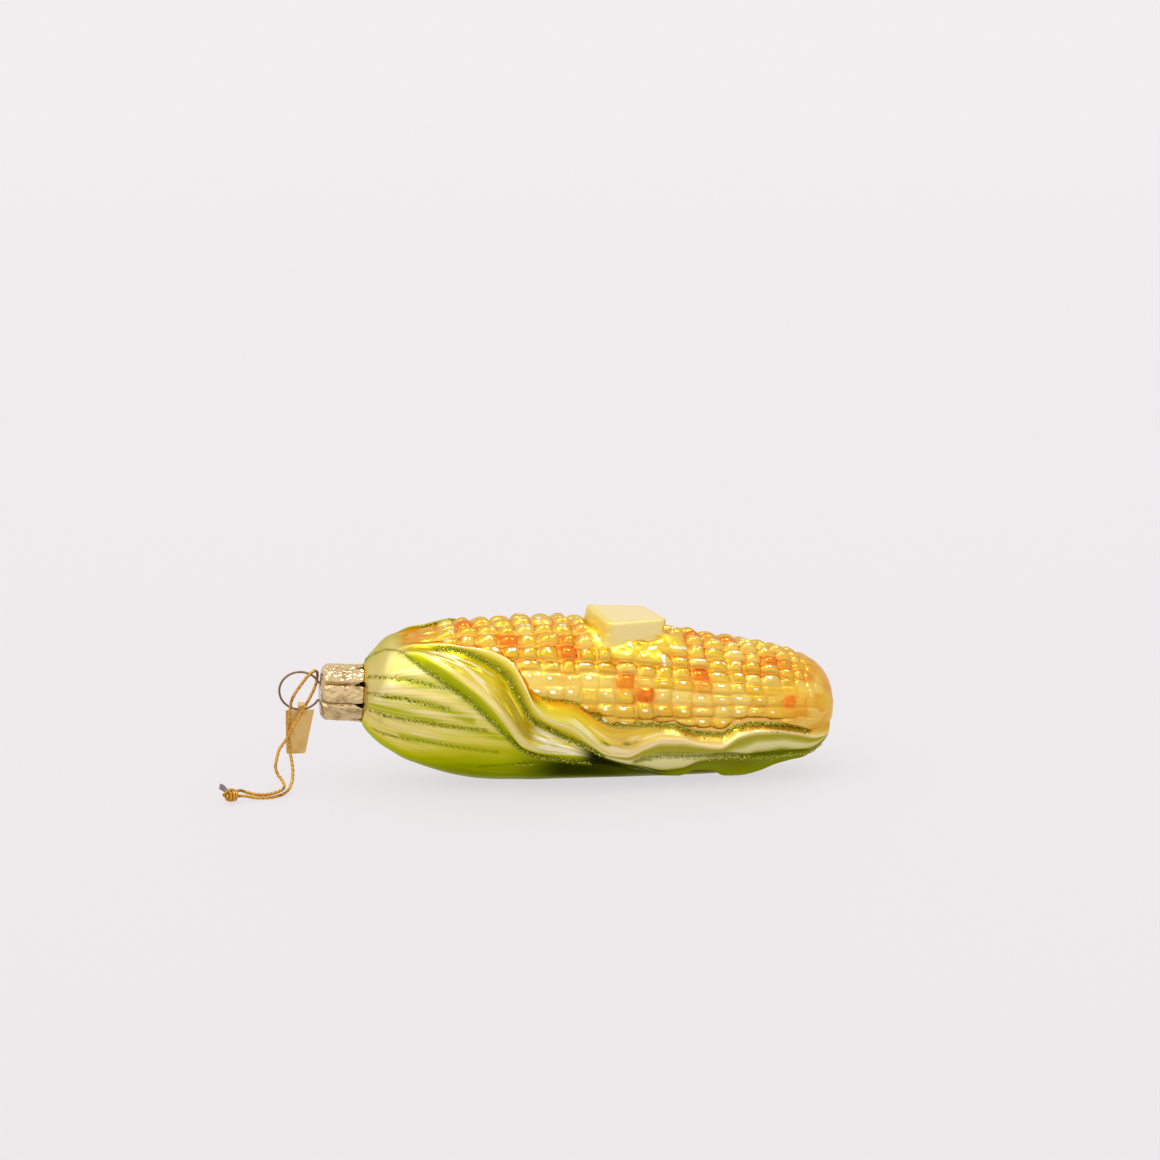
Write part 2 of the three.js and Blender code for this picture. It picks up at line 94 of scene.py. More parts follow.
def unit(vectors: Array) -> Array:
    """Bring vectors to a length of 1."""
    return vectors / np.linalg.norm(vectors, axis=-1, keepdims=True)


def gone_along(line: Array) -> Array:
    """Give how far along a line each of its points is."""
    return np.concatenate([[0], np.cumsum(np.linalg.norm(np.diff(line, axis=0), axis=1))])


class Profile:
    """A smooth curve through points, with no overshoot between them."""

    def __init__(self, points: Points) -> None:
        """Fit the curve.

        Args:
            points: Place and value, in order of place.
        """
        self.at, self.value = np.array(points, float).T
        gap = np.diff(self.at)
        slope = np.diff(self.value) / gap
        self.slope = np.zeros(len(points))
        self.slope[0], self.slope[-1] = slope[0], slope[-1]
        first = 2 * gap[1:] + gap[:-1]
        second = gap[1:] + 2 * gap[:-1]
        same_way = slope[:-1] * slope[1:] > 0
        safe = [np.where(same_way, part, 1.0) for part in (slope[:-1], slope[1:])]
        mean = (first + second) / (first / safe[0] + second / safe[1])
        self.slope[1:-1] = np.where(same_way, mean, 0.0)

    def __call__(self, place: Array | float) -> Array:
        """Give the value at each place, flat beyond the ends.

        Args:
            place: One place or many.

        Returns:
            The values.
        """
        place = np.clip(np.asarray(place, float), self.at[0], self.at[-1])
        left = np.clip(np.searchsorted(self.at, place, side="right") - 1, 0, len(self.at) - 2)
        gap = self.at[left + 1] - self.at[left]
        t = (place - self.at[left]) / gap
        low, high = self.value[left], self.value[left + 1]
        rise = gap * (t * (1 - t) ** 2 * self.slope[left] - t * t * (1 - t) * self.slope[left + 1])
        return low + (high - low) * t * t * (3 - 2 * t) + rise


@dataclass(frozen=True)
class EarAxis:
    """The line through the ear, falling to its tip; angles are from straight up, positive to the front."""

    start: Vector = (-49.6, 0.0, 23.2)
    tilt: float = 3.4
    neck_drop: float = 0.5
    neck_drop_end: float = 15.0

    def place(self, along: Array, back: Array, up: Array) -> Array:
        """Place points beside the axis.

        Args:
            along: Distances from the cap, in millimetres.
            back: Distances towards the back.
            up: Distances up from the axis.

        Returns:
            Points in millimetres, with a last side of 3.
        """
        tilt = math.radians(self.tilt)
        x = self.start[0] + math.cos(tilt) * along + math.sin(tilt) * up
        z = self.start[2] - math.sin(tilt) * along + math.cos(tilt) * up
        return np.stack([x, self.start[1] + back, z], -1)

    def points(self, along: Array, angle: Array, radius: Array) -> Array:
        """Place points round the axis.

        Args:
            along: Distances from the cap, in millimetres.
            angle: Angles in degrees.
            radius: Distances from the axis, in millimetres.

        Returns:
            Points in millimetres, with a last side of 3.
        """
        along, turn, radius = np.broadcast_arrays(along, np.radians(angle), radius)
        drop = self.neck_drop * (1 - ease(along, 0.0, self.neck_drop_end))
        return self.place(along, -radius * np.sin(turn), radius * np.cos(turn) - drop)


AXIS = EarAxis()


def put(name: str, data: bpy.types.ID) -> bpy.types.Object:
    """Add an object to the scene.

    Args:
        name: The object's name.
        data: Its mesh, light or camera.

    Returns:
        The object.
    """
    made = bpy.data.objects.new(name, data)
    bpy.context.scene.collection.objects.link(made)
    return made


@dataclass
class Shape:
    """A mesh being made, in millimetres."""

    points: Array
    faces: list[tuple[int, ...]]
    masks: dict[str, Array] = field(default_factory=dict)

    def piece(self, name: str, finish: "Finish", slot: str, *stands_for: str) -> bpy.types.Object:
        """Make the object, dress it and fix it to the ornament.

        Args:
            name: The piece's name.
            finish: Its finish.
            slot: Not used.
            stands_for: The CAD nodes that it stands for.

        Returns:
            The object.
        """
        mesh = bpy.data.meshes.new(name)
        mesh.from_pydata((self.points * MM).tolist(), [], self.faces)
        mesh.shade_smooth()
        for mask, values in self.masks.items():
            layer = mesh.attributes.new(mask, "FLOAT", "POINT")
            layer.data.foreach_set("value", np.asarray(values, np.float32).ravel())
        mesh.materials.append(finish.material())
        made = put(name, mesh)
        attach(made, "root")
        if stands_for:
            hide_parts(*stands_for)
        LOG.info("%s: %d points, %d faces", name, len(self.points), len(self.faces))
        return made


def skin(rings: Array, masks: dict[str, Array] | None = None) -> Shape:
    """Close a stack of rings into one skin, with a point at each end.

    Args:
        rings: Points as rings by points by 3.
        masks: Masks as rings by points.

    Returns:
        The closed shape, with the two end points last.
    """
    count, size = rings.shape[:2]
    ends = np.stack([rings[0].mean(0), rings[-1].mean(0)])
    row = np.arange(count - 1)[:, None] * size
    here = np.arange(size)[None, :]
    beside = (here + 1) % size
    corners = np.stack([row + here, row + beside, row + size + beside, row + size + here], -1)
    faces = [tuple(face) for face in corners.reshape(-1, 4).tolist()]
    last = (count - 1) * size
    for i in range(size):
        j = (i + 1) % size
        faces.append((j, i, count * size))
        faces.append((last + i, last + j, count * size + 1))
    held = {name: np.concatenate([m.ravel(), m[0, :1], m[-1, :1]]) for name, m in (masks or {}).items()}
    return Shape(np.concatenate([rings.reshape(-1, 3), ends]), faces, held)


def smooth_line(points: Array, step: float) -> Array:
    """Run a smooth line through points and space it evenly.

    Args:
        points: The points to pass through.
        step: The wanted spacing, in millimetres.

    Returns:
        Points along the line.
    """
    points = np.asarray(points, float)
    ends = np.concatenate([[2 * points[0] - points[1]], points, [2 * points[-1] - points[-2]]])
    t = np.linspace(0, 1, 24, endpoint=False)[:, None]
    runs = []
    for a, b, c, d in zip(ends, ends[1:], ends[2:], ends[3:], strict=False):
        runs.append(b + 0.5 * t * (c - a + t * (2 * a - 5 * b + 4 * c - d + t * (3 * (b - c) + d - a))))
    line = np.concatenate([*runs, points[-1:]])
    gone = gone_along(line)
    even = np.linspace(0, gone[-1], max(4, round(gone[-1] / step) + 1))
    return np.stack([np.interp(even, gone, line[:, i]) for i in range(3)], -1)


def strand(line: Array, radius: float, sides: int, plies: int = 0, lay: float = 3.0) -> Shape:
    """Sweep a round or twisted section along a line.

    Args:
        line: Points along the middle.
        radius: The radius.
        sides: Points round the section.
        plies: How many threads are twisted together; 0 for a plain wire.
        lay: The length of one twist, in millimetres.

    Returns:
        The closed strand.
    """
    way = unit(np.gradient(line, axis=0))
    side = np.cross(way[0], (0.0, 0.0, 1.0) if abs(way[0][2]) < 0.9 else (1.0, 0.0, 0.0))
    frames = []
    for direction in way:
        side = unit(side - direction * (side @ direction))
        frames.append((side, np.cross(direction, side)))
    across, over = np.array(frames).transpose(1, 0, 2)
    turn = np.linspace(0, 2 * math.pi, sides, endpoint=False)
    size = np.full((len(line), sides), radius)
    if plies:
        twist = 2 * math.pi * gone_along(line) / lay
        size = radius * (0.8 + 0.2 * np.abs(np.cos(plies / 2 * turn[None, :] - twist[:, None])))
    return skin(
        line[:, None, :]
        + size[..., None]
        * (np.cos(turn)[None, :, None] * across[:, None, :] + np.sin(turn)[None, :, None] * over[:, None, :])
    )


def joined(shapes: list[Shape]) -> Shape:
    """Put several shapes without masks into one.

    Args:
        shapes: The shapes.

    Returns:
        One shape that holds them all.
    """
    offset, faces = 0, []
    for shape in shapes:
        faces += [tuple(i + offset for i in face) for face in shape.faces]
        offset += len(shape.points)
    return Shape(np.concatenate([s.points for s in shapes]), faces)


# ---- Shading --------------------------------------------------------------------------------------


class Value:
    """A shader socket that holds a number, with arithmetic that adds Math nodes."""

    def __init__(self, tree: "Tree", socket: bpy.types.NodeSocket) -> None:
        """Wrap a socket of a tree."""
        self.tree = tree
        self.socket = socket

    def _math(self, operation: str, first: "Value | float", second: "Value | float") -> "Value":
        """Add a Math node and give its result."""
        node = self.tree.node("ShaderNodeMath", {"operation": operation}, {0: first, 1: second})
        return Value(self.tree, node.outputs[0])

    def __add__(self, other: "Value | float") -> "Value":
        """Add."""
        return self._math("ADD", self, other)

    def __mul__(self, other: "Value | float") -> "Value":
        """Multiply."""
        return self._math("MULTIPLY", self, other)

    def __sub__(self, other: "Value | float") -> "Value":
        """Subtract."""
        return self._math("SUBTRACT", self, other)

    def __rsub__(self, other: "Value | float") -> "Value":
        """Subtract from."""
        return self._math("SUBTRACT", other, self)

    __radd__ = __add__
    __rmul__ = __mul__

    def rise(self, low: float, high: float) -> "Value":
        """Rise smoothly from 0 to 1.

        Args:
            low: Where it leaves 0.
            high: Where it reaches 1.

        Returns:
            The share.
        """
        settings = {"interpolation_type": "SMOOTHSTEP"}
        inputs = {"Value": self, "From Min": low, "From Max": high}
        return Value(self.tree, self.tree.node("ShaderNodeMapRange", settings, inputs).outputs["Result"])


class Tree:
    """A node tree and the few ways in which this ornament's finishes add nodes to it."""

    def __init__(self, nodes: bpy.types.NodeTree) -> None:
        """Empty a tree and hold it."""
        self.nodes = nodes
        nodes.nodes.clear()

    def node(self, kind: str, settings: dict | None = None, inputs: dict | None = None) -> bpy.types.Node:
        """Add a node.

        Args:
            kind: The node's type.
            settings: Its properties, set first; "stops" are a ramp's places and colours.
            inputs: Its sockets' values or links, by name or number.

        Returns:
            The node.
        """
        made = self.nodes.nodes.new(kind)
        for name, value in (settings or {}).items():
            if name == "stops":
                while len(made.color_ramp.elements) < len(value):
                    made.color_ramp.elements.new(0.5)
                for element, (place, colour) in zip(made.color_ramp.elements, value, strict=True):
                    element.position = place
                    element.color = colour
            else:
                setattr(made, name, value)
        for name, value in (inputs or {}).items():
            if isinstance(value, Value):
                value = value.socket
            if isinstance(value, bpy.types.NodeSocket):
                self.nodes.links.new(value, made.inputs[name])
            else:
                made.inputs[name].default_value = value
        return made

    def mask(self, name: str) -> Value:
        """Read a mask that was stored on the mesh."""
        return Value(self, self.node("ShaderNodeAttribute", {"attribute_name": name}).outputs["Fac"])

    def _noise(self, place: bpy.types.NodeSocket, scale: float, detail: float) -> Value:
        """Add a noise at a place, about 0.5."""
        inputs = {"Vector": place, "Scale": scale, "Detail": detail}
        return Value(self, self.node("ShaderNodeTexNoise", None, inputs).outputs["Fac"])

    def grain(self, scale: float, detail: float = 3.0, stretch: Vector = (1, 1, 1)) -> Value:
        """Add a noise in the ornament's own frame.

        Args:
            scale: Grains per metre.
            detail: How many finer layers it has.
            stretch: The scale along each axis.

        Returns:
            The noise, about 0.5.
        """
        place = self.node("ShaderNodeTexCoord").outputs["Object"]
        mapping = self.node("ShaderNodeMapping", None, {"Vector": place, "Scale": stretch})
        return self._noise(mapping.outputs["Vector"], scale, detail)

    def streaks(self, along: str, across: str, scale: Span) -> Value:
        """Add a noise drawn out along the leaf, from two masks that say where a place is.

        Args:
            along: The mask that runs along the leaf.
            across: The mask that runs across it.
            scale: Grains per unit of each mask.

        Returns:
            The noise, about 0.5.
        """
        inputs = {0: self.mask(along) * scale[0], 1: self.mask(across) * scale[1]}
        return self._noise(self.node("ShaderNodeCombineXYZ", None, inputs).outputs[0], 1.0, 3.0)

    def cells(self, scale: float) -> Value:
        """Add a pattern of soft cells.

        Args:
            scale: Cells per metre.

        Returns:
            The distance from their middles.
        """
        inputs = {"Vector": self.node("ShaderNodeTexCoord").outputs["Object"], "Scale": scale}
        made = self.node("ShaderNodeTexVoronoi", {"feature": "SMOOTH_F1"}, inputs)
        return Value(self, made.outputs["Distance"])

    def blend(self, share: Value | float, first: Paint, second: Paint) -> bpy.types.NodeSocket:
        """Mix a share of a second colour into the first."""
        settings = {"data_type": "RGBA", "blend_type": "MIX", "clamp_factor": True}
        return self.node("ShaderNodeMix", settings, {0: share, 6: first, 7: second}).outputs[2]

    def layers(self, colour: Paint, coats: list[tuple[Value | float, Paint]]) -> Paint:
        """Lay coats over a colour, one after another.

        Args:
            colour: What lies under them.
            coats: The share and the colour of each.

        Returns:
            The colour on top.
        """
        for share, coat in coats:
            colour = self.blend(share, colour, coat)
        return colour

    def ramp(self, place: Value, stops: Stops, top: float) -> bpy.types.NodeSocket:
        """Look a colour up along a ramp.

        Args:
            place: From 0 to 1.
            stops: Places from 0 to top, with hex colours.
            top: The place at the ramp's end.

        Returns:
            The colour.
        """
        scaled = [(at / top, linear(code)) for at, code in stops]
        made = self.node("ShaderNodeValToRGB", {"stops": scaled}, {"Fac": place})
        made.color_ramp.interpolation = "EASE"
        return made.outputs["Color"]

    def surface(self, height: Value | None = None, depth: float = 0.0, **sockets: object) -> None:
        """Add the surface shader and its bump.

        Args:
            height: The bump's height, from 0 to 1.
            depth: How deep the bump is, in metres.
            sockets: The shader's values and links, with _ for a space.
        """
        inputs = {name.replace("_", " "): value for name, value in sockets.items()}
        if height is not None:
            bump = self.node("ShaderNodeBump", None, {"Height": height, "Distance": depth, "Strength": 1.0})
            inputs["Normal"] = bump.outputs["Normal"]
        shader = self.node("ShaderNodeBsdfPrincipled", None, inputs)
        self.node("ShaderNodeOutputMaterial", None, {"Surface": shader.outputs["BSDF"]})


@dataclass(frozen=True)
class Finish:
    """A finish; each kind says how its nodes are made."""

    name: str

    def paint(self, tree: Tree) -> None:
        """Add the finish's nodes to a tree."""
        raise NotImplementedError

    def material(self) -> bpy.types.Material:
        """Make the material, once.

        Returns:
            The material.
        """
        made = bpy.data.materials.get(self.name)
        if made is None:
            made = bpy.data.materials.new(self.name)
            made.use_nodes = True
            self.paint(Tree(made.node_tree))
        return made


@dataclass(frozen=True)
class KernelLacquer(Finish):
    """Honey-gold lacquer over silvered kernels, orange in grooves and on some kernels, under varnish, with
    painted glints as highlights and a few painted shade lines.
    """

    gold: Colour = linear("e5b828")
    halo: Colour = linear("f0c46c")
    cream: Colour = linear("ebca62")
    pearl: Colour = linear("fbf2cc")
    orange: Colour = linear("e48420")
    blush: Colour = linear("e88012")
    flame: Colour = linear("da6406")
    crevice: Colour = linear("7a6414")
    butter: Colour = linear("f2cf3e")
    amber: Colour = linear("df9a20")
    low_groove: Colour = linear("e4b662")
    edge_tint: Colour = (0.9, 0.75, 0.5, 1.0)
    metallic: float = 0.96

    def paint(self, tree: Tree) -> None:
        """Add the lacquer's nodes.

        Args:
            tree: The tree to fill.
        """
        top = tree.mask("crown")
        soft = tree.grain(160.0, 2.0)
        fine = tree.grain(900.0)
        blotch = tree.grain(230.0, 1.0, (0.5, 1.0, 1.0))
        glazed = tree.mask("glaze")
        unglazed = 1.0 - glazed.rise(0.3, 0.6)
        amber = tree.mask("amber")
        blush = tree.mask("blush")
        halo = top.rise(0.05, 0.25) * (1.0 - top.rise(0.3, 0.6))
        groove = (1.0 - top.rise(0.0, 0.5)) * soft.rise(0.3, 0.6)
        dab = tree.mask("pearl") + (fine - 0.5) * 0.25
        coats = [
            (tree.mask("cream"), self.cream),
            (halo * 0.35 * (1.0 - amber), self.halo),
            (groove * glazed, self.orange),
            (groove * 0.7 * unglazed, self.low_groove),
            (soft.rise(0.56, 0.72) * 0.3, self.orange),
            (blush, self.blush),
            (blush * fine.rise(0.45, 0.7) * 0.7, self.flame),
            (tree.mask("butter"), self.butter),
            (amber * soft.rise(0.3, 0.6), self.amber),
            (amber * (1.0 - blotch.rise(0.4, 0.48)) * 0.8, self.cream),
            # painted shade: a faint darker ring round each painted glint
            (dab.rise(0.12, 0.35) * 0.18, self.crevice),
            # painted highlights: pale glints painted on the kernels
            (dab.rise(0.35, 0.75), self.pearl),
            # painted shade along the crease where the butter pat meets the kernels
            (tree.mask("foot_line") * 0.75, self.crevice),
        ]
        shine = 0.2 + fine.rise(0.4, 0.7) * 0.07 + (1.0 - top.rise(0.1, 0.7)) * 0.22
        tree.surface(
            fine,
            0.00005,
            Base_Color=tree.layers(self.gold, coats),
            Metallic=self.metallic,
            Roughness=shine + unglazed * 0.08,
            Coat_Weight=0.4,
            Coat_Roughness=0.04,
            Specular_Tint=self.edge_tint,
        )


@dataclass(frozen=True)
class HuskLacquer(Finish):
    """Green and cream lacquer over silvered glass; its colours follow the leaf's folds and veins, with
    painted highlights on the folds' crests and painted shade below them and underneath.
    """

    # colours across the folds: the pale stops at the crests (3.05, 4.95) are painted highlights, the olive
    # and green stops on the slopes below them partly painted shade
    folds: Stops = (
        (1.6, "e89418"), (2.1, "e6a01c"), (2.5, "dcc02c"), (2.85, "dccc50"), (3.05, "eedf98"),
        (3.3, "e2d048"), (3.7, "b4a41a"), (4.0, "a6940c"), (4.2, "c4ac14"), (4.6, "d8be40"),
        (4.95, "e6d486"), (5.1, "d8cc44"), (5.3, "b2b41a"), (5.75, "9ea60c"), (6.0, "a4a814"),
        (6.08, "ccc860"),
    )
    # the same near the tip: the pale stops at the crest (2.86 to 3.0) and on the lobes (3.64 to 3.86) are
    # painted highlights, the green below the crest and the dark olive from 4.1 partly painted shade
    tip_folds: Stops = (
        (1.6, "deae62"), (2.0, "d6ac4c"), (2.3, "ceaa3c"), (2.6, "e2c060"), (2.86, "f0d690"),
        (3.0, "f0dca4"), (3.1, "c8b858"), (3.2, "a8a02c"), (3.36, "aea83a"), (3.5, "c6be64"),
        (3.64, "e6dc9c"), (3.86, "e0d692"), (3.98, "c4ba6a"), (4.1, "747616"), (4.7, "828a20"),
        (5.4, "6a7010"),
    )
    # colours round the belly, from dark green underneath to cream on top; the darkening underneath is partly
    # painted shade
    belly: Stops = (
        (0, "5e6a08"), (16, "788206"), (27, "8c9804"), (38, "aab20a"), (48, "c8c22a"), (58, "e2d45c"),
        (70, "ecda74"), (90, "eddb86"), (108, "edda8c"), (126, "ebd68c"), (144, "e2ce78"),
    )
    last_fold: float = 7.0
    half_turn: float = 180.0
    rim_tint: Colour = (0.75, 0.78, 0.4, 1.0)
    lime: Colour = linear("b2b60e")
    olive: Colour = linear("a48c0a")
    cream: Colour = linear("f4ecc4")
    gold: Colour = linear("dcc836")
    deep: Colour = linear("626e0c")
    # painted shade: near-black green for the underside
    shade: Colour = linear("081402")
    sheath: Colour = linear("dcca7c")

    def paint(self, tree: Tree) -> None:
        """Add the lacquer's nodes.

        Args:
            tree: The tree to fill.
        """
        wave = tree.grain(70.0, 2.0, (1.0, 3.0, 3.0))
        fine = tree.grain(700.0)
        place = (tree.mask("fold") + (wave - 0.5) * 0.25) * (1 / self.last_fold)
        below = tree.mask("down") + (wave - 0.5) * 0.05
        painted = tree.streaks("along", "fold", (15.0, 4.5))
        thread = tree.streaks("along", "round", (7.0, 60.0))
        valley = tree.mask("valley")
        pool = tree.mask("pool")
        belly = tree.mask("belly")
        paler = below.rise(0.3, 0.42) * (1.0 - thread.rise(0.38, 0.46)) * 0.5
        coats = [
            (tree.mask("tipward"), tree.ramp(place, self.tip_folds, self.last_fold)),
            # cream streaks in the valley and along the lip: partly the lacquer's own strokes, partly painted
            # highlight streaks
            (valley * painted.rise(0.52, 0.62) * 0.65, self.cream),
            (tree.mask("hollow") * 0.85, self.olive),
            # painted highlight: a pale cream patch in the valley, crossed by lime streaks
            (pool * 0.95, self.cream),
            (pool * (1.0 - painted.rise(0.4, 0.5)) * 0.6, self.lime),
            (valley * (1.0 - painted.rise(0.36, 0.46)), self.gold),
            (belly, tree.ramp(below, self.belly, self.half_turn)),
            (belly * thread.rise(0.5, 0.66) * 0.4, self.lime),
            (belly * paler, self.cream),
            (tree.mask("lime") * (0.45 + thread.rise(0.35, 0.55) * 0.55), self.lime),
            (tree.mask("sheath"), self.sheath),
            (tree.mask("line"), self.deep),
            # painted shade under the belly and under the lip's lobes, where the ear meets the table
            (tree.mask("under"), self.shade),
        ]
        tree.surface(
            fine,
            0.00003,
            Base_Color=tree.layers(tree.ramp(place, self.folds, self.last_fold), coats),
            Metallic=1.0,
            Roughness=0.23 + fine.rise(0.4, 0.8) * 0.08,
            Specular_Tint=self.rim_tint,
        )


@dataclass(frozen=True)
class ButterLacquer(Finish):
    """Pale, satin yellow lacquer on the butter pat, deeper at its rim and foot."""

    light: Colour = linear("f3de98")
    edge: Colour = linear("f2de80")
    deep: Colour = linear("ecd25c")

    def paint(self, tree: Tree) -> None:
        """Add the lacquer's nodes.

        Args:
            tree: The tree to fill.
        """
        soft = tree.grain(180.0, 2.0, (1.0, 1.0, 2.5))
        coats = [(tree.mask("rim"), self.edge), (tree.mask("foot") * (0.5 + soft * 0.5), self.deep)]
        tree.surface(
            soft,
            0.0001,
            Base_Color=tree.layers(self.light, coats),
            Metallic=0.45,
            Roughness=0.3 + soft * 0.1,
            Coat_Weight=0.12,
            Coat_Roughness=0.12,
        )


@dataclass(frozen=True)
class GlitterFlakes(Finish):
    """Tiny metallised flakes, green to gold."""

    green: Colour = linear("6d8410")
    gold: Colour = linear("f0dc60")

    def paint(self, tree: Tree) -> None:
        """Add the flakes' nodes."""
        colour = tree.blend(tree.mask("tone"), self.green, self.gold)
        tree.surface(Base_Color=colour, Metallic=0.85, Roughness=0.25 + tree.mask("tone") * 0.1)


@dataclass(frozen=True)
class Metal(Finish):
    """A metal with a tarnish that gathers in patches, a hammered or drawn surface, and a darker brown along
    a crevice mask if one is given.
    """

    colour: Colour
    tarnish: Colour
    roughness: float = 0.2
    dent_scale: float = 500.0
    dent: float = 0.0001
    metallic: float = 1.0
    patches: float = 250.0
    crevice: str = ""
    crevice_colour: Colour = linear("54391c")

    def paint(self, tree: Tree) -> None:
        """Add the metal's nodes.

        Args:
            tree: The tree to fill.
        """
        patch = tree.grain(self.patches)
        dents = tree.grain(self.dent_scale, 2.0) + tree.cells(self.dent_scale * 0.9) * 0.6
        coats = [(patch.rise(0.45, 0.75) * 0.7, self.tarnish)]
        if self.crevice:
            coats.append((tree.mask(self.crevice), self.crevice_colour))
        tree.surface(
            dents,
            self.dent,
            Base_Color=tree.layers(self.colour, coats),
            Metallic=self.metallic,
            Roughness=self.roughness + patch.rise(0.4, 0.8) * 0.12,
        )


@dataclass(frozen=True)
class Paper(Finish):
    """The pale, matt surface that the ornament lies on."""

    colour: Colour = (0.16, 0.157, 0.157, 1.0)
    darker: float = 0.985
    glow: Colour = (0.661, 0.633, 0.648, 1.0)

    def paint(self, tree: Tree) -> None:
        """Add the surface's nodes.

        Args:
            tree: The tree to fill.
        """
        tint = (self.colour[0] * self.darker, self.colour[1] * self.darker, self.colour[2], 1.0)
        tree.surface(
            Base_Color=tree.blend(tree.grain(1.2, 2.0), self.colour, tint),
            Roughness=0.75,
            Specular_IOR_Level=0.12,
            Emission_Color=self.glow,
            Emission_Strength=1.0,
        )


# the cap is darker brown along its flutes' valleys
CAP_METAL = Metal(
    "champagne_tinplate",
    linear("d6bc8c"),
    linear("7e5c30"),
    roughness=0.12,
    dent_scale=300.0,
    dent=0.0006,
    patches=420.0,
    crevice="flute",
)
WIRE_METAL = Metal("bronzed_wire", linear("8a6f52"), linear("4e3b2c"), 0.28, 1500.0, 0.00002)
TAG_METAL = Metal("satin_brass", linear("d6b270"), linear("ba9048"), 0.32, 900.0, 0.00004)
CORD_THREAD = Metal("gold_thread", linear("cc9636"), linear("4a2e08"), 0.26, 2500.0, 0.00006, 0.8, 900.0)
TAIL_THREAD = Metal("frayed_thread", linear("95868e"), linear("7a6250"), 0.5, 2500.0, 0.00003, 0.3, 600.0)


# ---- The husk -------------------------------------------------------------------------------------


class Side(Enum):
    """The husk's two leaves, by the way that their angles run from the opening's centre."""

    FRONT = 1.0
    BACK = -1.0


@dataclass(frozen=True)
class Patch:
    """A soft-edged area of the husk, by its folds and by its distances from the cap."""

    folds: Band
    along: Band
    strength: float = 1.0

    def share(self, fold: Array, along: Array) -> Array:
        """Give how strongly it covers each place."""
        return self.strength * band(fold, self.folds) * band(along, self.along)


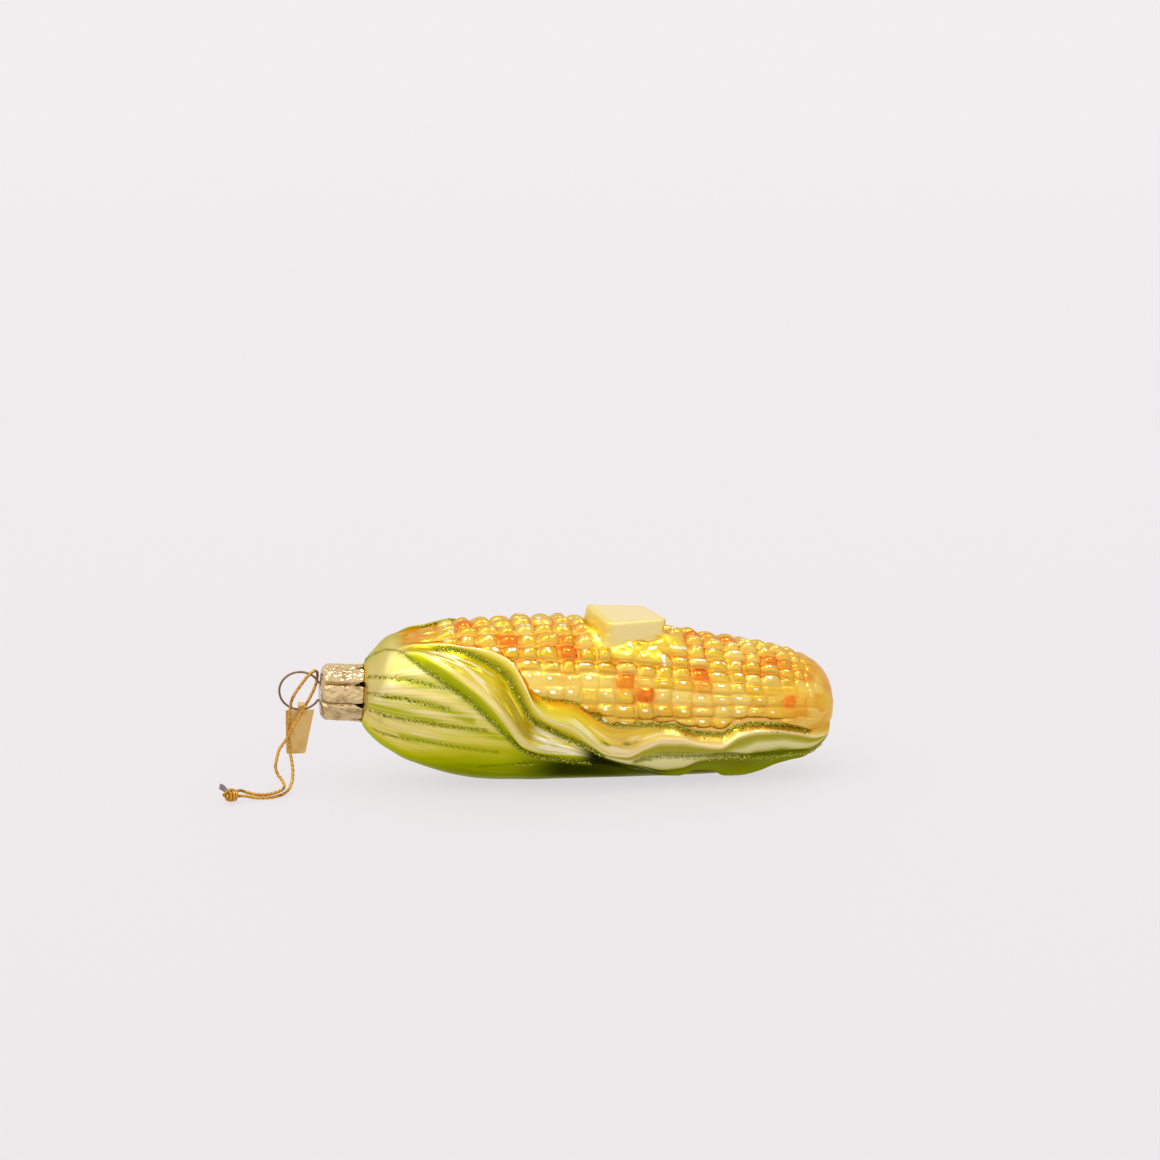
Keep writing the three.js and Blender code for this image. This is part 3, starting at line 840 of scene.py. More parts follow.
@dataclass
class Husk:
    """The leaves round the ear: a closed skin whose folds run along it, with veins drawn in glitter."""

    opening_centre: float = 12.0
    underneath: float = 168.0
    back_shift: float = 5.0
    back_slip: Points = (
        (0, 13), (5, 13), (12, 10.4), (15, 8), (18, 6), (22, 12), (26, 20), (50, 20), (75, 4), (119, 0),
    )
    edge_sink: float = 0.6
    hidden_sink: float = 1.9
    hidden_margin: float = 8.0
    opening: Span = (6.0, 11.0)
    radius_profile: Points = (
        (-8.3, 5.4), (-0.5, 5.4), (0.0, 5.7), (0.45, 6.7), (0.8, 7.7), (3, 10.5), (6, 13.0), (9, 14.5),
        (12, 15.9), (15.5, 17.1), (18.5, 18.0), (21.5, 18.8), (24.5, 19.4), (30, 20.1), (36, 20.6),
        (42, 20.75), (48, 20.5), (56, 20.1), (64, 19.6), (72, 19.1), (80, 18.6), (88, 18.0), (95, 17.3),
        (100, 16.6), (104, 15.4), (108, 14.0), (112, 12.9), (115.5, 11.0), (117.5, 8.6), (118.6, 0),
    )
    edge: Points = (
        (0, 24), (8, 27), (15, 30), (20, 35), (24, 42), (30, 46), (34, 52), (37, 62), (40, 75), (45, 80),
        (50, 81), (56, 91), (62, 98), (75, 98), (83, 104), (88, 105), (92, 99), (97, 96), (104, 99),
        (112, 108),
    )
    rim_crest: Points = (
        (0, 44), (9, 32), (16, 35), (20, 39), (24, 44), (30, 49), (35, 57), (38, 69), (41, 85), (44, 92),
        (50, 97), (55, 107), (60, 117), (65, 119), (69, 112), (73.4, 106), (77.4, 106), (82.7, 110),
        (87.9, 112.2), (92.5, 104), (97.5, 100), (102.7, 100.7), (108.3, 106.6), (112, 112), (117, 122),
    )
    rim_foot: Points = (
        (0, 64), (9, 36), (14, 38), (20, 43), (25, 49), (30, 57), (34, 66), (37, 79), (40, 93), (45, 101),
        (50, 108), (55, 114), (60, 121), (65, 125.5), (70, 129), (75, 132.5), (79, 131), (83.5, 125),
        (88.4, 124), (93.5, 124), (98.3, 118), (103.6, 119), (109.2, 126.4), (113, 130), (117, 126),
    )
    fold_crest: Points = (
        (0, 84), (9, 40), (13, 44), (17, 54), (22, 66), (27, 77), (31, 87), (35, 100), (39, 112), (44, 116),
        (50, 118), (55, 122), (60, 128), (65, 133), (70, 138), (75, 144), (79, 144), (83, 135), (87, 136),
        (91, 149), (96, 155), (100, 148), (104, 142), (108, 145), (112, 148), (115, 140), (117, 133),
    )
    fold_foot: Points = (
        (0, 104), (9, 44), (15, 60), (20, 73), (25, 83), (30, 95), (35, 108), (40, 120), (44, 124),
        (50, 127), (55, 130), (60, 134), (65, 139), (70, 144), (75, 149), (79, 149), (83, 141), (87, 142),
        (91, 154), (96, 159), (100, 153), (104, 148), (108, 151), (112, 153), (115, 146), (117, 140),
    )
    rim_crest_rise: Points = (
        (14, 0), (22, 0.8), (30, 1.6), (45, 1.9), (60, 2.2), (85, 2.2), (104, 1.8), (112, 1.2), (117, 0.4),
    )
    rim_foot_rise: Points = (
        (14, 0), (30, 0.2), (50, 0.4), (60, 1.6), (68, 2.0), (85, 1.9), (93, 1.2), (104, 1.2), (112, 0.8),
        (117, 0.3),
    )
    fold_crest_rise: Points = (
        (8, 0), (14, 0.6), (22, 1.2), (48, 1.4), (58, 0.4), (66, 0.4), (75, 1.5), (85, 1.9), (95, 1.4),
        (104, 1.2), (112, 0.8), (117, 0.2),
    )
    veins: tuple[Points, ...] = (
        ((1.1, 52), (3.8, 58), (8.5, 65), (13.7, 70), (18, 74), (22.5, 76)),
        ((1, 78), (3, 80), (6, 83), (8.6, 84), (11.4, 86), (14.3, 88), (20.5, 91)),
        ((2, 105), (7, 105), (12.7, 104), (15.6, 104), (25, 104), (30, 104)),
        ((3, 135), (8.6, 127), (13.6, 122), (22, 120), (33, 121)),
        ((29, 138), (34, 134), (42, 132)),
        ((0.3, -14), (1.6, 3), (3.7, 19), (6, 28), (8.6, 35), (11, 46)),
        ((1, -30), (5, -36), (11, -42), (18, -46), (26, -50)),
        ((1, -55), (6, -60), (14, -64), (24, -70), (34, -80)),
        ((2, -85), (9, -90), (20, -96), (32, -104), (46, -112)),
        ((3, -120), (12, -122), (26, -126), (46, -134), (66, -146)),
    )
    glitter_runs: tuple[tuple[int, float, float], ...] = ((2, 43.0, 112.0), (4, 17.0, 60.0), (6, 11.0, 58.0))
    back_run: tuple[int, float, float] = (2, -3.0, 30.0)
    crease: Points = (
        (67, 125), (71, 121.5), (74, 120), (78, 120.5), (85, 122), (90, 123), (95.5, 126), (101, 127),
        (106.5, 132), (111.5, 138), (116, 150),
    )
    lip_line: Points = (
        (57.7, 107.7), (59.3, 109.6), (61.0, 110.1), (62.8, 110.9), (64.8, 110.2), (66.9, 108.3),
    )
    lime_bands: tuple[tuple[Points, float, float], ...] = (
        (((9, 66), (13, 70), (18, 74), (23, 79), (28, 86), (33, 96)), 2.2, 0.75),
        (((6, 84), (10, 86), (15, 88), (21, 92), (26, 97)), 1.7, 1.0),
        (((2, 96), (8, 98), (14, 101), (21, 103), (29, 105), (36, 110)), 1.6, 1.0),
        (((10, 122), (16, 120), (24, 119), (33, 120), (42, 122)), 1.5, 0.9),
        (((8, -34), (16, -44), (26, -52), (36, -66)), 2.0, 0.8),
        (((6, -62), (16, -68), (28, -76), (40, -90)), 1.8, 0.9),
        (((6, -92), (20, -100), (36, -112), (52, -124)), 1.8, 0.9),
    )
    valley_waves: Patch = Patch((4.1, 4.4, 4.7, 4.95), (14, 20, 52, 60), 0.18)
    lip_waves: Patch = Patch((2.15, 2.4, 2.8, 3.0), (46, 54, 68, 78), 0.2)
    pleats: Patch = Patch((4.15, 4.5, 6.2, 7.0), (44, 50, 60, 70), 0.14)
    valley: Patch = Patch((4.05, 4.3, 4.8, 5.0), (12, 18, 48, 58))
    lip: Patch = Patch((2.2, 2.5, 3.0, 3.3), (46, 54, 68, 78), 0.8)
    hollow: Patch = Patch((4.05, 4.25, 4.6, 4.85), (30, 35, 40, 44))
    # painted highlight: the pale patch in the valley
    pool: Patch = Patch((4.05, 4.3, 4.9, 5.2), (40, 44, 51, 57))
    neck_paleness: float = 30.0
    pale_neck: Span = (4, 28)
    belly_folds: Span = (5.9, 6.1)
    belly_swell: float = 0.7
    belly_turn: Span = (20, 85)
    belly_along: Band = (5, 12, 28, 42)
    shoulder_swell: float = 0.9
    shoulder_turn: Span = (25, 75)
    shoulder_along: Band = (2, 6, 10, 16)
    crease_depth: float = 0.75
    crease_width: float = 1.3
    crease_start: Span = (64, 74)
    groove: float = 0.22
    groove_width: float = 0.9
    groove_along: Band = (0.5, 4, 50, 70)
    lime_core: float = 0.3
    tip_colours: Span = (52, 63)
    line_start: Span = (0.3, 1.5)
    # where the painted shade lies under the belly and the lip, and how strong it is at the front and the
    # back
    sheath_end: Span = (7, 12)
    shade_turn: Span = (42, 58)
    shade_start: Span = (34, 50)
    shade_end: Span = (92, 108)
    lip_shade_folds: Span = (4.05, 4.25)
    lip_shade_along: Band = (51, 57, 72, 79)
    line_widths: tuple[float, float, float] = (0.24, 0.5, 0.2)
    line_strength: float = 0.9
    shade_strength: Span = (0.99, 0.6)
    neck_places: tuple[float, ...] = (-8.3, -5, -2, -0.8, -0.4, -0.1, 0.2, 0.5, 1.0, 1.5)
    even_places: tuple[float, float, float] = (2.0, 117.6, 0.62)
    end_places: tuple[float, ...] = (117.9, 118.2, 118.45)
    segments: tuple[int, ...] = (2, 3, 12, 12, 22, 10)
    belly_segments: tuple[int, int] = (64, 48)
    length: float = 120.0

    def __post_init__(self) -> None:
        """Fit the curves."""
        lines = (self.edge, self.rim_crest, self.rim_foot, self.fold_crest, self.fold_foot)
        rises = (self.rim_crest_rise, self.rim_foot_rise, self.fold_crest_rise)
        self.radius_curve = Profile(self.radius_profile)
        self.line_curves = [Profile(line) for line in lines]
        self.rise_curves = [Profile(rise) for rise in rises]
        self.slip_curve = Profile(self.back_slip)

    def fold_lines(self, along: Array, side: Side) -> tuple[Array, Array]:
        """Find where one leaf's folds run.

        Args:
            along: Distances from the cap.
            side: Which leaf.

        Returns:
            Angles from the opening's centre and radii, each as places by 8 lines.
        """
        along = np.asarray(along, float)
        back = side is Side.BACK
        at = along - self.back_shift if back else along
        slip = self.slip_curve(along) if back else 0.0
        base = self.radius_curve(along)
        lines = [curve(at) - self.opening_centre + slip for curve in self.line_curves]
        rises = [base + curve(at) for curve in self.rise_curves]
        inner = np.maximum(lines[0] - self.hidden_margin, 1.0)
        opened = ease(along, *self.opening)
        hidden = base - self.hidden_sink * opened
        angles = [np.zeros_like(along), inner, *lines, np.full_like(along, 180.0)]
        radii = [hidden, hidden, base - self.edge_sink * opened, *rises, base, base]
        return np.stack(angles, -1), np.stack(radii, -1)

    def measure(self, along: Array, angle: Array) -> tuple[Array, Array]:
        """Find the husk's radius, and which fold a place is on.

        Args:
            along: Distances from the cap.
            angle: Angles from straight up.

        Returns:
            Radii, and fold numbers from 0 at the opening's centre to 7 underneath.
        """
        along, angle = np.broadcast_arrays(np.asarray(along, float), np.asarray(angle, float))
        offset = wrapped(angle - self.opening_centre)
        radius, fold = np.zeros(along.shape), np.zeros(along.shape)
        for side in Side:
            chosen = (offset >= 0) == (side is Side.FRONT)
            angles, radii = self.fold_lines(along[chosen], side)
            away = np.abs(offset[chosen])
            step = np.clip((angles < away[:, None]).sum(1), 1, 7)
            pick = np.arange(len(away))
            low, high = angles[pick, step - 1], angles[pick, step]
            share = np.clip((away - low) / np.maximum(high - low, 1e-6), 0, 1)
            eased = ease(share, 0, 1)
            radius[chosen] = radii[pick, step - 1] * (1 - eased) + radii[pick, step] * eased
            fold[chosen] = step - 1 + share
        return radius, fold

    def cover(self, along: Array, angle: Array) -> Array:
        """Tell how far under the leaf's edge a place of the ear is.

        Args:
            along: Distances from the cap.
            angle: Angles from straight up.

        Returns:
            Degrees under the edge, less than 0 where the ear is bare.
        """
        offset = wrapped(angle - self.opening_centre)
        front, back = (self.fold_lines(along, side)[0][..., 2] for side in (Side.FRONT, Side.BACK))
        return np.abs(offset) - np.where(offset >= 0, front, back)

    def distance(self, along: Array, angle: Array, *lines: Points | Array) -> Array:
        """Measure how far places are from the nearest of some lines.

        Args:
            along: Distances from the cap.
            angle: Angles from straight up.
            lines: The lines, as points of distance and angle.

        Returns:
            Distances over the surface, in millimetres.
        """
        arc = self._arc(along)
        nearest = np.full(along.shape, 99.0)
        for line in lines:
            for (a0, t0), (a1, t1) in zip(line, line[1:], strict=False):
                run, turn = a1 - a0, (t1 - t0) * arc
                x, y = along - a0, wrapped(angle - t0) * arc
                share = np.clip((x * run + y * turn) / (run * run + turn * turn + 1e-9), 0, 1)
                nearest = np.minimum(nearest, np.hypot(x - share * run, y - share * turn))
        return nearest

    def scattered(self, line: Array, per_mm: float, spread: float, rng: Chances) -> Array:
        """Scatter places along a line.

        Args:
            line: Points of distance and angle.
            per_mm: How many places to a millimetre.
            spread: How far they stray from the line, in millimetres.
            rng: Where the chances come from.

        Returns:
            Places as distance and angle.
        """
        turned = np.radians(np.diff(line[:, 1])) * self.radius_curve(line[:-1, 0])
        steps = np.hypot(np.diff(line[:, 0]), turned)
        gone = np.concatenate([[0], np.cumsum(steps)])
        count = int(gone[-1] * per_mm)
        at = rng.uniform(0, gone[-1], count)
        along = np.interp(at, gone, line[:, 0]) + rng.normal(0, spread, count)
        angle = np.interp(at, gone, line[:, 1]) + rng.normal(0, spread, count) / self._arc(along)
        return np.stack([along, angle], -1)

    def glitter_lines(self) -> tuple[list[Array], list[Array]]:
        """List the lines that carry glitter, as points of distance and angle.

        Returns:
            The belly's veins, and the lines along the folds.
        """
        folds = []
        for side in (Side.FRONT, Side.BACK):
            back = side is Side.BACK
            for line, first, last in (*self.glitter_runs, self.back_run) if back else self.glitter_runs:
                shift = self.back_shift if back else 0.0
                at = np.arange(first + shift, last + shift, 1.0)
                angles, _ = self.fold_lines(at, side)
                folds.append(np.stack([at, self.opening_centre + side.value * angles[:, line]], -1))
        return [np.array(vein, float) for vein in self.veins], [*folds, np.array(self.crease)]

    def shape(self) -> Shape:
        """Make the closed skin and its masks.

        Returns:
            The shape.
        """
        along, angle = self._grid()
        radius, fold = self.measure(along, angle)
        veins, folds = self.glitter_lines()
        to_vein = self.distance(along, angle, *veins)
        belly = ease(fold, *self.belly_folds)
        down = np.abs(wrapped(angle - self.underneath))
        groove = self.groove * ridge(to_vein, self.groove_width) * belly * band(along, self.groove_along)
        radius = radius - groove + self._relief(along, angle, fold)
        points = AXIS.points(along, angle, radius)
        points[..., 2] = np.maximum(points[..., 2], TABLE_GAP)
        lime = np.zeros(along.shape)
        for line, width, strength in self.lime_bands:
            away = self.distance(along, angle, line)
            lime = np.maximum(lime, strength * (1 - ease(away, self.lime_core * width, width)))
        to_fold, to_lip = self.distance(along, angle, *folds), self.distance(along, angle, self.lip_line)
        to_line = (np.stack([to_vein, to_fold, to_lip]) / np.reshape(self.line_widths, (3, 1, 1))).min(0)
        front = (angle - self.opening_centre) % 360 < 180
        # painted shade under the belly, fading towards the tip, and under the lip's lobes at the front
        shade = (1 - ease(down, *self.shade_turn)) * belly * ease(along, *self.shade_start)
        shade = shade * (1 - 0.8 * ease(along, *self.shade_end))
        lip_shade = ease(fold, *self.lip_shade_folds) * band(along, self.lip_shade_along) * front
        masks = {
            "fold": fold,
            "along": along / self.length,
            "down": (down + self.neck_paleness * (1 - ease(along, *self.pale_neck))) / 180.0,
            "round": down / 180.0,
            "belly": belly,
            "lime": lime * belly,
            "valley": np.maximum(self.valley.share(fold, along), self.lip.share(fold, along)),
            "tipward": ease(along, *self.tip_colours),
            "hollow": self.hollow.share(fold, along),
            "pool": self.pool.share(fold, along),
            "line": ridge(to_line, 1.0) * ease(along, *self.line_start) * self.line_strength,
            "under": np.maximum(shade, lip_shade) * np.where(front, *self.shade_strength),
            "sheath": (1 - ease(along, *self.sheath_end)) * (1 - belly),
        }
        return skin(points, masks)

    def build(self) -> bpy.types.Object:
        """Make the husk's piece."""
        return self.shape().piece("husk", HuskLacquer("husk_lacquer"), "lacquered_glass", "glass_body")

    def _arc(self, along: Array) -> Array:
        """Give the length of one degree round the husk, in millimetres."""
        return np.radians(1.0) * np.maximum(self.radius_curve(along), 4.0)

    def _grid(self) -> tuple[Array, Array]:
        """Lay out the skin's rings, with points that keep to the folds.

        Returns:
            Distances from the cap and angles, as rings by points.
        """
        places = np.concatenate([self.neck_places, np.arange(*self.even_places), self.end_places])
        halves = []
        for side, belly in zip((Side.FRONT, Side.BACK), self.belly_segments, strict=True):
            angles, _ = self.fold_lines(places, side)
            parts = []
            for i, count in enumerate((*self.segments, belly)):
                share = np.linspace(0, 1, count, endpoint=False)[None, :]
                parts.append(angles[:, i : i + 1] * (1 - share) + angles[:, i + 1 : i + 2] * share)
            halves.append(np.concatenate(parts, 1))
        front, back = halves
        away = np.concatenate([front, np.full((len(places), 1), -180.0), -back[:, :0:-1]], 1)
        return np.broadcast_to(places[:, None], away.shape), self.opening_centre + away

    def _relief(self, along: Array, angle: Array, fold: Array) -> Array:
        """Swell, crease and pleat the leaves.

        Args:
            along: Distances from the cap.
            angle: Angles from straight up.
            fold: Fold numbers.

        Returns:
            Heights to add to the radius, in millimetres.
        """
        down = np.abs(wrapped(angle - self.underneath))
        belly = self.belly_swell * (1 - ease(down, *self.belly_turn)) * band(along, self.belly_along)
        shoulder = self.shoulder_swell * (1 - ease(180 - down, *self.shoulder_turn))
        shoulder = shoulder * band(along, self.shoulder_along)
        to_crease = self.distance(along, angle, self.crease)
        crease = self.crease_depth * ridge(to_crease, self.crease_width) * ease(along, *self.crease_start)
        waves = np.sin(fold * 17 + along * 0.3) + 0.7 * np.sin(fold * 27 - along * 0.24 + 1.7)
        waves = waves * (0.5 + 0.5 * np.sin(along * 0.6 + fold * 7)) * self.valley_waves.share(fold, along)
        lip = self.lip_waves.share(fold, along) * np.sin(fold * 32 + 0.8 * np.sin(along * 0.3))
        pleats = self.pleats.share(fold, along) * np.sin(fold * 14 + 0.6 * np.sin(along * 0.13))
        return belly + shoulder - crease + waves + lip + pleats


@dataclass
class Glitter:
    """Flakes stuck along the husk's veins and folds."""

    husk: Husk
    per_mm: float = 11.0
    density: Span = (0.5, 1.25)
    spread: Span = (0.25, 0.36)
    size: Span = (0.09, 0.2)
    sides: int = 5
    thickness: float = 0.04
    tilt: float = 0.45
    lift: float = 0.05
    stand: float = 0.06
    probe: float = 0.15
    mean_radius: float = 20.0

    def build(self) -> bpy.types.Object:
        """Scatter the flakes and make their piece.

        Returns:
            The object.
        """
        rng = np.random.default_rng(SEED)
        places = []
        for lines, density, spread in zip(self.husk.glitter_lines(), self.density, self.spread, strict=True):
            places += [self.husk.scattered(line, self.per_mm * density, spread, rng) for line in lines]
        middle, normal = self._seats(*np.concatenate(places).T)
        count = len(middle)
        lean = unit(normal + rng.normal(0, self.tilt, (count, 3)))
        first = unit(np.cross(lean, rng.normal(0, 1, (count, 3))))
        second = np.cross(lean, first)
        size = rng.uniform(*self.size, count)[:, None]
        middle = middle + normal * self.stand
        corners = [middle + lean * self.thickness]
        for turn in np.linspace(0, 2 * math.pi, self.sides, endpoint=False):
            corners.append(middle + size * (math.cos(turn) * first + math.sin(turn) * second))
        corners.append(middle - lean * self.thickness)
        points = np.stack(corners, 1).reshape(-1, 3)
        points[:, 2] = np.maximum(points[:, 2], TABLE_GAP)
        top, bottom = 0, self.sides + 1
        flake = []
        for i in range(self.sides):
            j = (i + 1) % self.sides
            flake += [(top, 1 + i, 1 + j), (bottom, 1 + j, 1 + i)]
        faces = [tuple(len(corners) * k + corner for corner in face) for k in range(count) for face in flake]
        tone = np.repeat(rng.random(count) ** 1.5, len(corners))
        made = Shape(points, faces, {"tone": tone})
        piece = made.piece("glitter", GlitterFlakes("glitter_flakes"), "lacquered_glass", "glass_body")
        piece.data.shade_flat()
        return piece

    def _seats(self, along: Array, angle: Array) -> tuple[Array, Array]:
        """Find where flakes sit.

        Args:
            along: Distances from the cap.
            angle: Angles from straight up.

        Returns:
            Points on the husk, and the ways out of it there.
        """
        middle = self._on_husk(along, angle)
        ahead = self._on_husk(along + self.probe, angle) - middle
        aside = self._on_husk(along, angle + math.degrees(self.probe / self.mean_radius)) - middle
        normal = unit(np.cross(aside, ahead))
        outward = middle - AXIS.points(along, angle, np.zeros_like(along))
        return middle, normal * np.sign((normal * outward).sum(1))[:, None]

    def _on_husk(self, along: Array, angle: Array) -> Array:
        """Find points on the husk's surface."""
        radius, _ = self.husk.measure(along, angle)
        return AXIS.points(along, angle, radius + self.lift)


# ---- The ear --------------------------------------------------------------------------------------


@dataclass
class Kernels:
    """Where each point of the kernels' skin is: over which kernel, and where on it."""

    ring: Array
    row: Array
    along: Array
    turn: Array
    low: Array
    seen: Array
    shape: tuple[int, int]

    def __post_init__(self) -> None:
        """Find the kernel under each point, and the place on it, from -1 to 1 both ways."""
        self.i = np.clip(self.ring.astype(int), 0, self.shape[0] - 1)
        self.j = np.clip(self.row.astype(int), 0, self.shape[1] - 2)
        self.u = 2 * (self.ring - self.i) - 1
        self.v = 2 * (self.row - self.j) - 1

    def pick(self, table: Array) -> Array:
        """Give every point its own kernel's value."""
        return table[..., self.i, self.j]


@dataclass
class Ear:
    """The kernels: rounded squares in rings and rows, with grooves between them."""

    rise: float = 1.5
    squareness: Span = (2.0, 3.2)
    fullness: Span = (0.8, 1.05)
    groove_share: Span = (0.4, 0.85)
    uneven_height: float = 0.14
    uneven_tip: float = 0.13
    bead_rows: int = 14
    flat_runs: tuple[tuple[int, int, int], ...] = ((15, 6, 11), (16, 14, 18))
    samples: int = 10
    hidden_samples: int = 13
    ring_limits: Span = (2.8, 119.15)
    lag: float = 1.6
    wander: float = 0.35
    jog: Span = (0.6, 1.6)
    sunk: Span = (-3.0, 9.0)
    neck_sink: float = 1.6
    neck_end: Span = (6.0, 10.5)
    end_gap: float = 2.2
    end_gap_start: Span = (111, 117.5)
    early_end: float = 4.5
    early_end_along: Band = (50, 58, 96, 106)
    last_fade: Span = (110, 117)
    tip_fade: Span = (101, 112)
    neck_fade: Span = (11, 24)
    lag_along: Band = (4, 14, 104, 117)
    wander_along: Band = (8, 20, 100, 112)
    jog_along: Band = (8, 16, 108, 116)
    bare_turn: Band = (-120, -106, 104, 122)
    low_turn: Span = (52, 66)
    lowest_turn: Span = (72, 78)
    low_flatness: float = 0.35
    butter_level: float = 0.86
    bead_power: float = 2.7
    bead_fullness: float = 0.62
    mounds: tuple[tuple[float, float, float, float, float], ...] = (
        (74.5, 27.0, 4.5, 8.0, 1.3), (68.5, 35.0, 5.0, 4.0, 0.6), (56.0, 24.0, 3.0, 9.0, 0.5),
    )
    # painted highlights: pale streaks painted on the melted butter beside the pat
    painted_highlight_streaks: tuple[Points, ...] = (
        ((69.6, 39.6), (71.6, 37.2)),
        ((75.2, 35.2), (77.4, 35.6), (79.4, 33.6)),
        ((73.5, 42.5), (73.0, 47), (73.6, 50)),
        ((64.6, 36.8), (65.4, 38.6)),
        ((69.0, 32.2), (71.6, 29.4)),
        ((82.0, 40.8), (83.8, 41.8)),
        ((56.4, 31), (57.0, 35)),
    )
    # painted shade: a dark line along the crease at the butter pat's foot
    foot_line: Points = ((62.5, 41.5), (65, 38.5), (68.6, 34.5))
    pat_foot_shade_width: float = 0.28
    # where the painted glints (painted highlights) sit on each kernel, and how often
    glints: Points = ((-0.25, 0.8), (0.34, 0.4))
    glint_width: Span = (0.15, 0.42)
    glint_height: Span = (0.2, 0.36)
    ring_centres: tuple[float, ...] = (
        5.2, 10.0, 14.8, 19.6, 24.4, 29.2, 34.1, 39.1, 44.1, 48.3, 52.8, 57.4, 62.2, 67.0, 71.9, 76.7, 81.6,
        86.5, 91.2, 95.5, 99.9, 104.1, 107.6, 110.9, 113.9, 116.4, 118.3,
    )
    row_bounds: tuple[float, ...] = (
        -122, -110, -98, -86, -74, -62, -50, -38, -26, -13, 0, 13, 26, 39, 51, 61.5, 71.5, 82, 92.5, 103,
        114, 125,
    )
    crest: Points = (
        (3, 8), (6, 12.4), (9, 14.6), (12, 16.2), (17, 17.4), (20, 18.1), (24, 19.0), (32, 19.8), (40, 20.6),
        (48, 21.0), (56, 20.9), (64, 20.4), (72, 19.6), (80, 18.7), (88, 17.7), (96, 16.8), (104, 15.6),
        (109, 14.7), (112.5, 13.6), (115.3, 11.9), (117.4, 9.3), (118.7, 5.6), (119.2, 0),
    )
    orange_kernels: tuple[tuple[int, int, float], ...] = (
        (4, 10, 1.0), (6, 12, 1.0), (9, 13, 1.0), (12, 15, 1.0), (13, 16, 1.0), (16, 14, 1.0),
        (16, 15, 0.5), (21, 16, 1.0), (20, 12, 0.9), (21, 12, 0.6), (16, 10, 1.0), (17, 10, 0.5),
        (18, 10, 0.9), (2, 10, 0.5), (1, 11, 0.6), (9, 12, 0.5), (10, 11, 0.5), (5, 5, 1.0), (8, 3, 1.0),
        (12, 6, 1.0), (14, 4, 0.9), (18, 7, 1.0), (21, 5, 1.0), (7, 8, 0.9), (11, 9, 0.8), (23, 13, 0.6),
        (22, 8, 0.8),
    )
    pools: tuple[tuple[float, float, float, float], ...] = (
        (60.0, 34.0, 5.0, 12.0), (66.0, 36.0, 5.0, 9.0), (74.0, 30.0, 6.0, 11.0), (63.0, 44.0, 4.0, 6.0),
        (71.0, 43.0, 3.0, 8.0), (57.5, 20.0, 4.0, 14.0), (60.0, -6.0, 5.0, 8.0), (69.0, -12.0, 5.0, 8.0),
    )

    def shape(self, husk: Husk) -> Shape:
        """Make the closed skin of kernels and its masks.

        Args:
            husk: The husk, which the kernels sink under.

        Returns:
            The shape.
        """
        rng, loose = np.random.default_rng(SEED), np.random.default_rng(SEED + 1)
        grid = self._grid(loose)
        along, turn, low = grid.along, grid.turn, grid.low
        height = grid.pick(rng.normal(0, self.uneven_height, grid.shape))
        tip = grid.pick(rng.normal(0, self.uneven_tip, (2, *grid.shape)))
        crown = self._crown(grid, rng)
        flat = np.zeros(grid.shape)
        for row_number, first, last in self.flat_runs:
            flat[first : last + 1, row_number] = 1.0
        flat = grid.pick(flat)
        ending = 1 - ease(along, *self.last_fade)
        faded = (1 - 0.75 * ease(along + 7 * low, *self.tip_fade)) * ending
        faded = faded * (0.15 + 0.85 * ease(along, *self.neck_fade))
        lift = crown * (1 + height + tip[0] * grid.u + tip[1] * grid.v) * faded * (1 - 0.35 * flat)
        butter = self._pools(along, turn)
        level = self.butter_level + 0.06 * np.sin(along * 0.5 + turn * 0.12)
        filled = level + 0.35 * (lift - level) * ease(lift - level, -0.9, 0.3)
        radius = self._radius(grid, lift * (1 - butter) + filled * butter, husk)
        hidden = ease(husk.cover(along, turn), *self.sunk)
        drawn_back = self.end_gap * hidden * ease(along, *self.end_gap_start)
        points = AXIS.points(along - drawn_back, turn, np.maximum(radius, 0.0))
        glow = self._glow(grid, crown)
        tone = grid.pick(rng.random(grid.shape))
        # painted highlights: pale glints, kept off the butter and the blushed kernels
        pearl = self._glints(grid, loose) * (1 - 0.8 * glow) * (1 - butter) * faded * grid.seen
        # distance to the painted highlight streaks on the butter
        to_highlight_streak = husk.distance(along, turn, *self.painted_highlight_streaks)
        amber = 0.3 * ease(turn, 20, 60) * (tone < 0.3) + 0.2 * (1 - ease(along, 11, 20))
        cream = np.clip(0.5 * tone + 0.3 * (tone > 0.75) + 0.8 * flat, 0, 1)
        masks = {
            "crown": crown,
            "blush": glow,
            "pearl": np.maximum(pearl, 0.8 - 0.8 * ease(to_highlight_streak, 0.1, 0.9)),
            "foot_line": ridge(husk.distance(along, turn, self.foot_line), self.pat_foot_shade_width),
            "butter": butter,
            "cream": cream * ease(crown, 0.1, 0.6),
            "amber": 0.6 * ease(along, 100, 110) + amber,
            "glaze": np.clip(0.75 - 0.4 * low + 0.3 * (tone - 0.5), 0, 1) * ending,
        }
        return skin(points, masks)

    def build(self, husk: Husk) -> bpy.types.Object:
        """Make the ear's piece, in its husk."""
        lacquer = KernelLacquer("kernel_lacquer")
        return self.shape(husk).piece("kernels", lacquer, "lacquered_glass", "glass_body")

